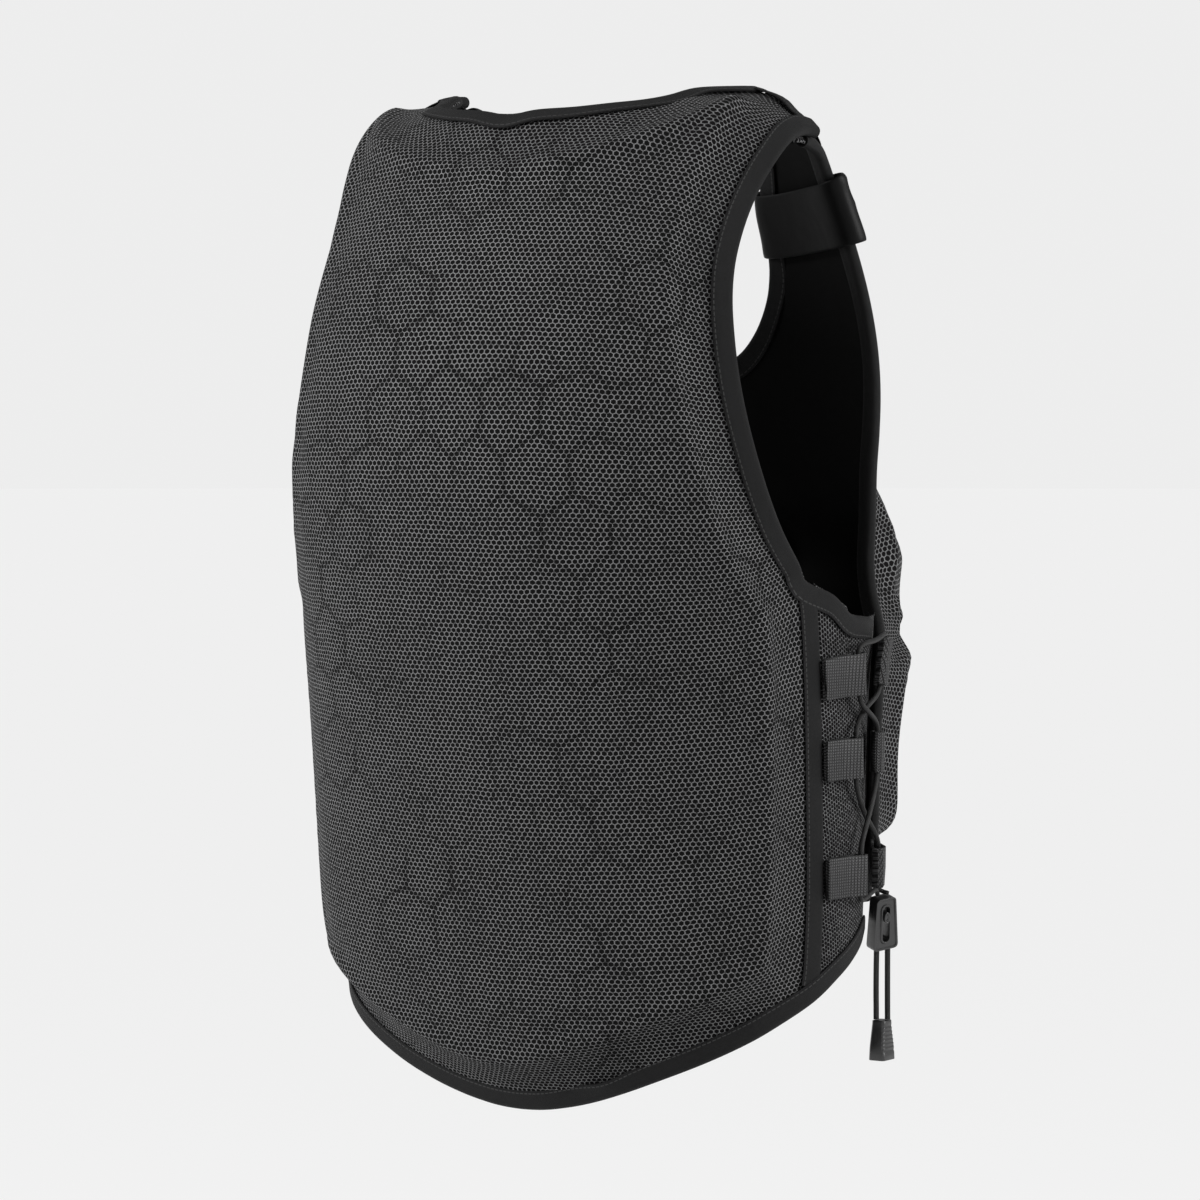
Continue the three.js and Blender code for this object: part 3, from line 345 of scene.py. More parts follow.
def six_sided_cells():
    """A pattern of six-sided cells in rows: From Centre is 0 in a cell's middle and 0.5 on its border."""
    name = "Six Sided Cells"
    if name in bpy.data.node_groups:
        return bpy.data.node_groups[name]
    tree, given, result = new_group(
        name,
        [("Vector", "NodeSocketVector"), ("Width", "NodeSocketFloat"), ("Height", "NodeSocketFloat")],
        [("From Centre", "NodeSocketFloat")],
    )
    stretch = tree.nodes.new("ShaderNodeCombineXYZ")
    wire(tree, stretch.inputs[0], calc(tree, "DIVIDE", 1.0, given["Width"]))
    wire(tree, stretch.inputs[1], calc(tree, "DIVIDE", 1.0, given["Height"]))
    point = calc_vector(tree, "MULTIPLY", given["Vector"], stretch.outputs[0])
    half = (0.5, math.sqrt(3) / 2, 1)
    low = tuple(-v for v in half)
    even = calc_vector(tree, "WRAP", point, half, low)
    odd = calc_vector(tree, "WRAP", calc_vector(tree, "ADD", point, (half[0], half[1], 0)), half, low)
    nearer = calc(tree, "LESS_THAN", calc_vector(tree, "LENGTH", even), calc_vector(tree, "LENGTH", odd))
    shift = calc_vector(tree, "MULTIPLY", calc_vector(tree, "SUBTRACT", even, odd), nearer)
    near = calc_vector(tree, "ABSOLUTE", calc_vector(tree, "ADD", odd, shift))
    slanted = calc_vector(tree, "DOT_PRODUCT", near, (0.5, math.sqrt(3) / 2, 0))
    apart = tree.nodes.new("ShaderNodeSeparateXYZ")
    wire(tree, apart.inputs[0], near)
    wire(tree, result["From Centre"], calc(tree, "MAXIMUM", slanted, apart.outputs[0]))
    return tree


def cells(tree, vector, width, height):
    node = tree.nodes.new("ShaderNodeGroup")
    node.node_tree = six_sided_cells()
    wire(tree, node.inputs["Vector"], vector)
    node.inputs["Width"].default_value = width
    node.inputs["Height"].default_value = height
    return node.outputs["From Centre"]


def new_material(name, roughness, specular=0.5, metallic=0.0):
    """A new material with its nodes and its shader."""
    material = bpy.data.materials.new(name)
    material.use_nodes = True
    tree = material.node_tree
    shader = tree.nodes["Principled BSDF"]
    shader.inputs["Roughness"].default_value = roughness
    shader.inputs["Specular IOR Level"].default_value = specular
    shader.inputs["Metallic"].default_value = metallic
    return material, tree, shader


# Finishes


def net(tree, shader, flat, hole_form, brightness, relief):
    """Draws holes and yarns, whose brightness varies partly at random and partly with painted glints:
    hole_form is 0 in a hole's middle and 0.5 between two holes.
    """
    look = bpy.context.scene.vest_cloth
    hole = step_between(tree, hole_form, 0.35, 0.45, 1, 0)
    # Painted highlight and random tone: each yarn's brightness goes from 0.35 to 1.9 times, standing for
    # glints on the threads as well as uneven yarn
    yarn_tone_and_glints = step_between(tree, noise(tree, flat, 450, 2), 0.3, 0.7, 0.35, 1.9)
    yarn = blend_colours(tree, calc(tree, "MULTIPLY", brightness, yarn_tone_and_glints), (0, 0, 0), look.thread)
    wire(tree, shader.inputs["Base Color"], blend_colours(tree, hole, yarn, look.foam))
    knit = calc(tree, "ADD", relief, calc(tree, "SUBTRACT", 1, hole))
    fibre = calc(tree, "MULTIPLY_ADD", noise(tree, flat, 2600), 0.25, knit)
    wire(tree, shader.inputs["Normal"], bump(tree, fibre, 0.0007))
    wire(tree, shader.inputs["Roughness"], step_between(tree, hole, 0, 1, 0.36, 0.95))


def net_base(name, pitch):
    """A material for a net, its place on the cloth, its holes and its soft unevenness."""
    material, tree, shader = new_material(name, 0.36, 0.12)
    flat = cloth_point(tree)
    row_share = 0.84
    hole_form = cells(tree, shaken(tree, flat, 60, 0.0022), pitch, pitch * row_share)
    patchy = step_between(tree, noise(tree, flat, 24, 3), 0.3, 0.7, 0.75, 1.15)
    return material, tree, shader, flat, hole_form, patchy


def mesh_cover_finish():
    """Open net over foam, whose six-sided cells show here and there as grooves, with painted shade darkening
    the net along them.
    """
    look = bpy.context.scene.vest_cloth
    material, tree, shader, flat, hole_form, patchy = net_base("Mesh cover", look.mesh_pitch)
    border = cells(tree, shaken(tree, flat, 14, 0.03), look.cell_pitch, look.cell_pitch)
    here_and_there = step_between(tree, noise(tree, flat, 11, 2), 0.42, 0.62, 0.15, 1)
    line = calc(tree, "MULTIPLY", step_between(tree, border, 0.445, 0.49), here_and_there)
    # Painted shade: along the grooves between foam cells the yarn is darkened by up to a fifth and the holes
    # widen a little, so more dark foam shows; the grooves are also bumped
    brightness = calc(tree, "MULTIPLY", patchy, calc(tree, "MULTIPLY_ADD", line, -0.2, 1.0))
    hole_form = calc(tree, "MULTIPLY_ADD", line, -0.03, hole_form)
    net(tree, shader, flat, hole_form, brightness, calc(tree, "MULTIPLY", line, -0.8))
    return material


def gusset_mesh_finish():
    """The finer and darker net of the gussets, with soft folds."""
    look = bpy.context.scene.vest_cloth
    material, tree, shader, flat, hole_form, patchy = net_base("Gusset mesh", look.gusset_pitch)
    folds = calc(tree, "MULTIPLY", noise(tree, flat, 38, 2), 13)
    net(tree, shader, flat, hole_form, calc(tree, "MULTIPLY", patchy, 0.6), folds)
    return material


def lining_finish():
    """Smooth dark cloth with wide shallow folds."""
    look = bpy.context.scene.vest_cloth
    material, tree, shader = new_material("Lining", 0.7, 0.06)
    point = object_point(tree)
    lighter = tuple(1.5 * v for v in look.lining)
    wire(tree, shader.inputs["Base Color"], blend_colours(tree, noise(tree, point, 9), look.lining, lighter))
    folds = calc(tree, "MULTIPLY_ADD", noise(tree, point, 1500), 0.05, noise(tree, point, 14, 3))
    wire(tree, shader.inputs["Normal"], bump(tree, folds, 0.004, 0.5))
    return material


def tape_finish():
    """Woven tape with one row of stitches near its edge, drawn along the cloth map."""
    look, trim = bpy.context.scene.vest_cloth, bpy.context.scene.vest_trim
    material, tree, shader = new_material("Binding tape", 0.6, 0.14)
    flat = cloth_point(tree)
    apart = tree.nodes.new("ShaderNodeSeparateXYZ")
    wire(tree, apart.inputs[0], flat)
    along, across = apart.outputs[0], apart.outputs[1]
    stitch_inset, stitch_half, waves = 0.0017, 0.00035, 9000
    dash = calc(tree, "PINGPONG", calc(tree, "DIVIDE", along, trim.stitch_pitch), 0.5)
    on_line = calc(tree, "COMPARE", across, stitch_inset, stitch_half)
    stitch = calc(tree, "MULTIPLY", on_line, step_between(tree, dash, 0.1, 0.2))
    one_way = calc(tree, "SINE", calc(tree, "MULTIPLY", calc(tree, "ADD", along, across), waves))
    other_way = calc(tree, "SINE", calc(tree, "MULTIPLY", calc(tree, "SUBTRACT", along, across), waves))
    grain = calc(tree, "MULTIPLY", one_way, other_way)
    shade = step_between(tree, noise(tree, flat, 700, 3), 0.35, 0.7, 0.75, 1.3)
    cloth = blend_colours(tree, shade, (0, 0, 0), look.tape)
    wire(tree, shader.inputs["Base Color"], blend_colours(tree, stitch, cloth, (0.035, 0.035, 0.035)))
    puckers = calc(tree, "MULTIPLY_ADD", noise(tree, flat, 110, 2), 2.0, calc(tree, "MULTIPLY", grain, 0.25))
    height = calc(tree, "MULTIPLY_ADD", on_line, -0.7, puckers)
    wire(tree, shader.inputs["Normal"], bump(tree, calc(tree, "MULTIPLY_ADD", stitch, 1.1, height), 0.0003))
    return material


def webbing_finish():
    """Plaited webbing: upright columns of slanting yarns, with painted shade between the yarns and between
    the columns.
    """
    look = bpy.context.scene.vest_cloth
    material, tree, shader = new_material("Webbing", 0.5, 0.2)
    apart = tree.nodes.new("ShaderNodeSeparateXYZ")
    wire(tree, apart.inputs[0], object_point(tree))
    column_pitch, yarn_pitch = 0.0021, 0.0017
    column = calc(tree, "PINGPONG", calc(tree, "DIVIDE", apart.outputs[1], column_pitch), 0.5)
    slant = calc(tree, "MULTIPLY", column, 1.8)
    plait = calc(tree, "ADD", calc(tree, "DIVIDE", apart.outputs[2], yarn_pitch), slant)
    yarn = step_between(tree, calc(tree, "PINGPONG", plait, 0.5), 0.06, 0.34, 0.12, 1)
    form = calc(tree, "MULTIPLY", yarn, step_between(tree, column, 0.03, 0.24))
    # Painted shade: the webbing's colour falls to a twentieth in the grooves between yarns and between
    # columns
    dark = tuple(0.05 * v for v in look.webbing)
    wire(tree, shader.inputs["Base Color"], blend_colours(tree, form, dark, look.webbing))
    wire(tree, shader.inputs["Normal"], bump(tree, form, 0.0005))
    return material


def flat_cloth_finish():
    """Close dark cloth of the tabs, the keepers and the zip strip."""
    look = bpy.context.scene.vest_cloth
    material, tree, shader = new_material("Flat cloth", 0.5, 0.1)
    point = object_point(tree)
    shade = step_between(tree, noise(tree, point, 900, 3), 0.3, 0.7, 0.8, 1.2)
    wire(tree, shader.inputs["Base Color"], blend_colours(tree, shade, (0, 0, 0), look.flat))
    folds = calc(tree, "MULTIPLY_ADD", noise(tree, point, 1400), 0.12, noise(tree, point, 45, 2))
    wire(tree, shader.inputs["Normal"], bump(tree, folds, 0.0012, 0.6))
    return material


def cord_finish():
    """The elastic cord's braid, from two sets of slanting lines, with its strands painted lighter and the
    pits between them painted darker.
    """
    look = bpy.context.scene.vest_cloth
    material, tree, shader = new_material("Elastic cord", 0.45, 0.22)
    apart = tree.nodes.new("ShaderNodeSeparateXYZ")
    wire(tree, apart.inputs[0], object_point(tree))
    lean = calc(tree, "ADD", apart.outputs[0], apart.outputs[1])
    strand_pitch = 0.0013
    slanted = [calc(tree, way, apart.outputs[2], lean) for way in ("ADD", "SUBTRACT")]
    one, other = (calc(tree, "PINGPONG", calc(tree, "DIVIDE", s, strand_pitch), 0.5) for s in slanted)
    form = step_between(tree, calc(tree, "MAXIMUM", one, other), 0.2, 0.45)
    # Painted light and shade: the raised strands get 1.5 times the cord's colour and the pits between them
    # 0.45 times, over the braid's bump
    dark, light = (tuple(share * v for v in look.cord) for share in (0.45, 1.5))
    wire(tree, shader.inputs["Base Color"], blend_colours(tree, form, dark, light))
    wire(tree, shader.inputs["Normal"], bump(tree, form, 0.00025))
    return material


def plastic_finish():
    """Black moulded plastic, faintly uneven in shade and gloss."""
    trim = bpy.context.scene.vest_trim
    material, tree, shader = new_material("Moulded plastic", 0.3, 0.7)
    point = object_point(tree)
    worn = step_between(tree, noise(tree, point, 240, 4), 0.35, 0.75, 0.85, 1.5)
    wire(tree, shader.inputs["Base Color"], blend_colours(tree, worn, (0, 0, 0), trim.plastic))
    gloss = step_between(tree, noise(tree, point, 900, 2), 0.3, 0.7, 0.3, 0.42)
    wire(tree, shader.inputs["Roughness"], gloss)
    wire(tree, shader.inputs["Normal"], bump(tree, noise(tree, point, 3000), 0.00004))
    return material


def metal_finish():
    """The bright insert of the slider, a little rubbed."""
    trim = bpy.context.scene.vest_trim
    material, tree, shader = new_material("Slider insert", 0.24, 0.5, 1.0)
    rubbed = noise(tree, object_point(tree), 1300, 3)
    dull, bright = (tuple(share * v for v in trim.metal) for share in (0.7, 1.2))
    wire(tree, shader.inputs["Base Color"], blend_colours(tree, rubbed, dull, bright))
    wire(tree, shader.inputs["Roughness"], step_between(tree, rubbed, 0.3, 0.7, 0.18, 0.36))
    return material


FINISH_MAKERS = {
    "mesh cover": mesh_cover_finish,
    "gusset mesh": gusset_mesh_finish,
    "lining": lining_finish,
    "tape": tape_finish,
    "webbing": webbing_finish,
    "flat cloth": flat_cloth_finish,
    "cord": cord_finish,
    "plastic": plastic_finish,
    "metal": metal_finish,
}
FINISHES = {}


def finish(name):
    """The material of that name, made when it is first asked for."""
    if name not in FINISHES:
        FINISHES[name] = FINISH_MAKERS[name]()
    return FINISHES[name]


# Rims: the bound edges of the panels and gussets


class Rim:
    """The edge of a sheet of cloth, read from its solid before it is subdivided.

    Short edges, as long as the sheet is thick, join its outer and its inner face there. The loop holds the
    outer points in order, partner the inner point of each, and around the points of the faces beside each.
    Subdivision keeps the numbers of these points.
    """

    def __init__(self, piece, thickness=0.004, sharp_turn=45):
        form = bmesh.new()
        form.from_mesh(piece.data)
        form.verts.ensure_lookup_table()
        form.faces.ensure_lookup_table()
        thick = {e for e in form.edges if abs(e.calc_length() - thickness) < 5e-5}
        walls = {f for f in form.faces if len(f.edges) == 4 and sum(e in thick for e in f.edges) == 2}
        short = {e for e in thick if all(f in walls for f in e.link_faces)}
        outer = self._outer_faces(form, walls)
        ring = {v for e in short for v in e.verts if any(f in outer for f in v.link_faces)}
        self.partner = {}
        for e in short:
            a, b = e.verts
            if a in ring:
                self.partner[a.index] = b.index
            else:
                self.partner[b.index] = a.index
        between = [e for e in form.edges if e not in short and e.verts[0] in ring and e.verts[1] in ring]
        edging = [e for e in between if any(f in walls for f in e.link_faces)
                  and any(f in outer for f in e.link_faces)]
        self.loop = self._in_order(edging, piece.name)
        near = {v.index: [f for f in v.link_faces if f in outer] for v in ring}
        self.around = {k: sorted({v.index for f in faces for v in f.verts}) for k, faces in near.items()}
        places = [form.verts[k].co for k in self.loop]
        ways = [(b - a).normalized() for a, b in zip(places, places[1:] + places[:1])]
        turns = [math.degrees(a.angle(b)) for a, b in zip(ways[-1:] + ways[:-1], ways)]
        self.corners = [k for k, turn in zip(self.loop, turns) if turn > sharp_turn]
        self.outer_faces = {f.index for f in outer}
        self.wall_faces = {f.index for f in walls}
        self.outer_points = sorted({v.index for f in outer for v in f.verts})
        self._keep_corners_sharp(form)
        form.to_mesh(piece.data)
        form.free()

    @staticmethod
    def _in_order(edging, name):
        """The points of a closed row of edges, one after the other."""
        beside = {}
        for e in edging:
            a, b = (v.index for v in e.verts)
            beside.setdefault(a, []).append(b)
            beside.setdefault(b, []).append(a)
        first = next(iter(beside))
        loop = [first, beside[first][0]]
        while True:
            ahead = [v for v in beside[loop[-1]] if v != loop[-2]]
            if not ahead or ahead[0] == first:
                break
            loop.append(ahead[0])
        if len(loop) != len(beside):
            raise RuntimeError(f"{name}: its rim isn't one loop")
        return loop

    def _keep_corners_sharp(self, form):
        """Marks both points of each corner, so that subdivision doesn't round it."""
        sharp = form.verts.layers.float.get("crease_vert") or form.verts.layers.float.new("crease_vert")
        form.verts.ensure_lookup_table()
        for k in self.corners:
            form.verts[k][sharp] = form.verts[self.partner[k]][sharp] = 1.0

    @staticmethod
    def _outer_faces(form, walls):
        """The faces between the walls that look away from the body."""
        seen = set()
        best = (None, -1e9)
        for face in form.faces:
            if face in walls or face in seen:
                continue
            island, todo = set(), [face]
            while todo:
                f = todo.pop()
                if f in island or f in walls:
                    continue
                island.add(f)
                todo.extend(g for e in f.edges for g in e.link_faces)
            seen |= island
            facing = sum(f.calc_area() * f.normal.dot(_away(f.calc_center_median())) for f in island)
            if facing > best[1]:
                best = (island, facing)
        return best[0]

    def stretch(self, a, b):
        """The rim's points from one to another, the shorter way round."""
        i, j = self.loop.index(a), self.loop.index(b)
        count = len(self.loop)
        ahead = [self.loop[(i + k) % count] for k in range((j - i) % count + 1)]
        back = [self.loop[(i - k) % count] for k in range((i - j) % count + 1)]
        return ahead if len(ahead) <= len(back) else back


def _away(point, armpit=-0.2):
    """The way out from the middle of the body, level below the armpits and rising above them."""
    return Vector((point.x, point.y, max(0.0, point.z - armpit))).normalized()


class Edge:
    """Stations along a stretch of rim: middle, way in over the cloth, and way out through it."""

    def __init__(self, rim, keys):
        points = rim.points
        outer = points[keys]
        under = points[[rim.partner[k] for k in keys]]
        self.middle = (outer + under) / 2
        self.up = unit(outer - under)
        centre = np.array([points[rim.around[k]].mean(axis=0) for k in keys])
        self.inward = unit(centre - outer)

    def joined(self, other, own_corner=False):
        """Goes on along another edge, with one station at the corner: this edge's own or the other's."""
        for name in ("middle", "up", "inward"):
            here, ahead = getattr(self, name), getattr(other, name)
            parts = (here, ahead[1:]) if own_corner else (here[:-1], ahead)
            setattr(self, name, np.concatenate(parts))
        return self

    def turned(self):
        """Runs the other way."""
        for name in ("middle", "up", "inward"):
            setattr(self, name, getattr(self, name)[::-1])
        return self

    def cut(self, start, end):
        """Leaves out a length at each end."""
        along = arc(self.middle)
        last = along[-1] - end
        inside = (along > start) & (along < last)
        self._sample(along, np.concatenate([[start], along[inside], [last]]))
        return self

    def even(self, step):
        """Spaces the stations evenly on a smooth line through them."""
        fine = [spline(getattr(self, name)) for name in ("middle", "up", "inward")]
        self.middle, self.up, self.inward = fine[0], unit(fine[1]), unit(fine[2])
        along = arc(self.middle)
        self._sample(along, np.linspace(0, along[-1], max(3, round(along[-1] / step))))
        for _ in range(3):
            for name in ("up", "inward"):
                v = getattr(self, name)
                v[1:-1] = (v[:-2] + 2 * v[1:-1] + v[2:]) / 4
        tangent = unit(np.gradient(self.middle, axis=0))
        self.up = unit(self.up - tangent * (self.up * tangent).sum(axis=1, keepdims=True))
        square = np.cross(tangent, self.up)
        self.inward = square * np.sign((square * self.inward).sum(axis=1, keepdims=True))
        return self

    def _sample(self, along, at):
        for name in ("middle", "up", "inward"):
            v = getattr(self, name)
            setattr(self, name, np.stack([np.interp(at, along, v[:, k]) for k in range(3)], axis=1))


def unit(vectors):
    return vectors / np.maximum(np.linalg.norm(vectors, axis=1, keepdims=True), 1e-12)


def arc(points):
    return np.concatenate([[0], np.cumsum(np.linalg.norm(np.diff(points, axis=0), axis=1))])


def spline(points, parts=6, power=0.0):
    """Points of a smooth curve through the given ones; power 0.5 bends less where they lie close together."""
    ends = np.concatenate([[2 * points[0] - points[1]], points, [2 * points[-1] - points[-2]]])
    out = []
    for p0, p1, p2, p3 in zip(ends, ends[1:], ends[2:], ends[3:]):
        d0, d1, d2 = (np.linalg.norm(b - a) ** power for a, b in ((p0, p1), (p1, p2), (p2, p3)))
        leaving = ((p1 - p0) / d0 - (p2 - p0) / (d0 + d1) + (p2 - p1) / d1) * d1
        coming = ((p2 - p1) / d1 - (p3 - p1) / (d1 + d2) + (p3 - p2) / d2) * d1
        for t in np.arange(parts) / parts:
            chord = p1 + (p2 - p1) * t * t * (3 - 2 * t)
            out.append(chord + leaving * t * (1 - t) ** 2 - coming * t * t * (1 - t))
    return np.array(out + [points[-1]])


def evenly(points, count):
    """The same way with evenly spaced stations."""
    along = arc(points)
    return np.stack([np.interp(np.linspace(0, along[-1], count), along, v) for v in points.T], axis=1)


def tape_profile(trim, lift=0.0, beyond=0.0):
    """The folded tape seen from its end: its outside and its inside, each as (distance in, height)."""
    reach, low, high = trim.tape_reach - 0.8 * beyond, trim.tape_inner, trim.tape_outer + lift
    bend_inset = 0.0012
    fold = bend_inset - beyond
    outer = [
        (reach, high - 0.0004), (reach - 0.0012, high), (0.6 * reach, high + 0.0001), (0.3 * reach, high),
    ]
    arcs = [math.pi / 2 + math.pi * k / 8 for k in range(9)]
    bend = [(fold + high * math.cos(a), high * math.sin(a)) for a in arcs]
    outer = outer + bend + [(d, -h) for d, h in reversed(outer)]
    inner = [(fold + low * math.cos(a), -low * math.sin(a)) for a in arcs]
    inner = [(reach, -low)] + inner + [(reach, low)]
    return outer, inner


def tape_round(name, edge, node, lift=0.0, beyond=0.0):
    """Sweeps the folded tape along an edge."""
    edge.even(0.004)
    outer, inner = tape_profile(bpy.context.scene.vest_trim, lift, beyond)
    profile = np.array(outer + inner)
    sides = len(profile)
    points = (
        edge.middle[:, None]
        + edge.inward[:, None] * profile[None, :, :1]
        + edge.up[:, None] * profile[None, :, 1:]
    )
    last = (len(points) - 1) * sides
    faces = [tuple(range(sides))[::-1], tuple(range(last, last + sides))]
    for start in range(0, last, sides):
        for k in range(sides):
            n = (k + 1) % sides
            faces.append((start + k, start + n, start + sides + n, start + sides + k))
    mesh = bpy.data.meshes.new(name)
    mesh.from_pydata(points.reshape(-1, 3).tolist(), [], faces)
    piece = link_mesh(name, mesh)
    edit_all(piece)
    bpy.ops.mesh.normals_make_consistent(inside=False)
    close_edit()
    mesh.uv_layers.new(name=CLOTH_MAP)
    along, across = arc(edge.middle), across_tape(profile, len(outer))
    set_cloth_map(mesh, np.stack([np.repeat(along, sides), np.tile(across, len(along))], axis=1))
    smooth(piece, 55)
    return place(piece, node, [finish("tape")])


def across_tape(profile, outside):
    """How far each point of the profile is from the tape's nearer edge; the inner side has no stitches."""
    across = arc(profile)
    fold = across[outside - 1] / 2
    across[outside:] = 0.5
    return np.where(across > fold, np.maximum(2 * fold - across, -1), across)


# Panels

RIMS = {}


def unwrap_outside(piece, rim):
    """Gives the piece a cloth map and unwraps its outer face there."""
    mesh = piece.data
    while mesh.uv_layers:
        mesh.uv_layers.remove(mesh.uv_layers[0])
    mesh.uv_layers.new(name=CLOTH_MAP)
    edit_faces(piece, lambda form: [f for f in form.faces if f.index in rim.outer_faces])
    bpy.ops.uv.unwrap(method="ANGLE_BASED", margin=0)
    close_edit()


def outside_in_metres(mesh, rim):
    """The outer face's points and their places on its map, stretched to the cloth's real size."""
    uv = np.empty(2 * len(mesh.loops))
    mesh.uv_layers[CLOTH_MAP].data.foreach_get("uv", uv)
    uv = uv.reshape(-1, 2)
    at = {}
    real = mapped = 0.0
    for k in rim.outer_faces:
        face = mesh.polygons[k]
        loops = list(face.loop_indices)
        at.update((mesh.loops[i].vertex_index, uv[i]) for i in loops)
        real += face.area
        here, ahead = uv[loops], np.roll(uv[loops], -1, axis=0)
        mapped += abs((here[:, 0] * ahead[:, 1] - ahead[:, 0] * here[:, 1]).sum()) / 2
    keys = np.array(sorted(at))
    return keys, np.array([at[k] for k in keys]) * math.sqrt(real / mapped)


def flatten(piece, rim, lean, yoke=-0.15):
    """Lays the outer face out flat in metres, up below the yoke along the second axis or leaning from it."""
    unwrap_outside(piece, rim)
    keys, flat = outside_in_metres(piece.data, rim)
    points = positions(piece)
    outside = points[keys]
    low = outside[:, 2] < yoke
    slope = np.linalg.lstsq(np.c_[flat[low], np.ones(low.sum())], outside[low, 2], rcond=None)[0][:2]
    turn = math.atan2(slope[0], slope[1]) + lean
    c, s = math.cos(turn), math.sin(turn)
    flat = flat @ np.array([[c, s], [-s, c]])
    nearest = [int(((outside - p) ** 2).sum(axis=1).argmin()) for p in points]
    set_cloth_map(piece.data, flat[nearest])


def ease(values, low, high):
    """Goes smoothly from 0 at low to 1 at high."""
    share = np.clip((values - low) / (high - low), 0, 1)
    return share * share * (3 - 2 * share)


def settle_straps(points):
    """Narrows the neck beside the straps, and opens it at their ends."""
    x, y, z = points.T
    narrowed, opened = 0.009, 0.010
    inner = ease(np.abs(x), 0.138, 0.112) * ease(z, -0.06, -0.03)
    at_end = ease(y, 0.024, -0.006)
    beside = np.exp(-(((y - 0.034) / 0.017) ** 2))
    points[:, 0] += np.sign(x) * inner * ease(np.abs(x), 0.02, 0.07) * (opened * at_end - narrowed * beside)


def lift_seams(points):
    """Raises the back corners of the armholes, where the side seams end."""
    rise, reach = 0.011, 0.036
    gap = np.linalg.norm((np.abs(points) - (0.175, 0.037, 0.284)) * (1, 1, 0.8), axis=1)
    points[:, 2] += rise * np.exp(-((gap / reach) ** 2)) * (points[:, 1] > 0)


def raise_ridge(piece, rim, outside):
    """Raises the foam's edge on the outer side, along a line inside the rim."""
    look = bpy.context.scene.vest_cloth
    points = positions(piece)
    edge = spline(points[rim.loop + rim.loop[:1]], 4)
    normals = np.empty(points.size)
    piece.data.vertices.foreach_get("normal", normals)
    normals = normals.reshape(-1, 3)
    at_once = 4000
    for start in range(0, len(points), at_once):
        part = slice(start, start + at_once)
        gap = np.sqrt(((points[part, None] - edge[None]) ** 2).sum(axis=2).min(axis=1))
        rise = look.ridge * np.exp(-(((gap - look.ridge_inset) / look.ridge_width) ** 2))
        points[part] += normals[part] * (rise * outside[part])[:, None]
    set_positions(piece, points)


def make_panel(node, levels, padded):
    """Covers one panel: mesh outside, smooth lining inside, foam between them."""
    piece = take(node)
    rim = Rim(piece)
    flatten(piece, rim, 0.0 if padded else math.radians(24))
    for face in piece.data.polygons:
        face.material_index = 0 if face.index in rim.outer_faces or face.index in rim.wall_faces else 1
    side = piece.vertex_groups.new(name="outside")
    side.add([int(k) for k in rim.outer_points], 1.0, "REPLACE")
    subdivide(piece, levels)
    outside = np.array([any(g.weight > 0.95 for g in v.groups) for v in piece.data.vertices])
    piece.vertex_groups.clear()
    points = positions(piece)
    if node == "back_panel":
        settle_straps(points)
    if not node.startswith("front"):
        lift_seams(points)
        set_positions(piece, points)
    rim.points = points
    RIMS[node] = rim
    if padded:
        raise_ridge(piece, rim, outside)
    only(piece)
    bpy.ops.object.shade_smooth()
    cover = "mesh cover" if padded else "gusset mesh"
    return place(piece, node, [finish(cover), finish("lining")])


class VEST_OT_panels(bpy.types.Operator):
    """Makes the padded back and the two padded fronts."""

    bl_idname = "vest.panels"
    bl_label = "Back and fronts"

    def execute(self, context):
        make_panel("back_panel", 3, True)
        for side in SIDES:
            make_panel(f"front_panel_{side}", 2, True)
        return {"FINISHED"}


class VEST_OT_gussets(bpy.types.Operator):
    """Makes the thin mesh sides under the lacing."""

    bl_idname = "vest.gussets"
    bl_label = "Side gussets"

    def execute(self, context):
        for side in SIDES:
            make_panel(f"side_gusset_{side}", 3, False)
        return {"FINISHED"}


# How far a tape stays short of another that it meets, and of a strap's end that lies under a tab, in metres
NECK_GAP = 0.001
STRAP_GAP = 0.009
BARE_END = 0.012
# How far the side tape lies beyond the rim, over the seam to the gusset
SEAM_COVER = 0.0055


class Cloth:
    """One panel or gusset as the bindings see it: its rim, and the named places on it on one side."""

    def __init__(self, node, side):
        self.rim = RIMS[node]
        self.side = side
        self.family = node.split("_")[0] if node.startswith(("back", "front")) else "gusset"

    def corner(self, name):
        return self._nearest(self.rim.corners, name)

    def point(self, name):
        return self._nearest(self.rim.loop, name)

    def _nearest(self, keys, name):
        target = np.array(on_side(self.side, PLACES[f"{self.family} {name}"]))
        return min(keys, key=lambda k: float(np.linalg.norm(self.rim.points[k] - target)))

    def edge(self, a, b):
        return Edge(self.rim, self.rim.stretch(a, b))


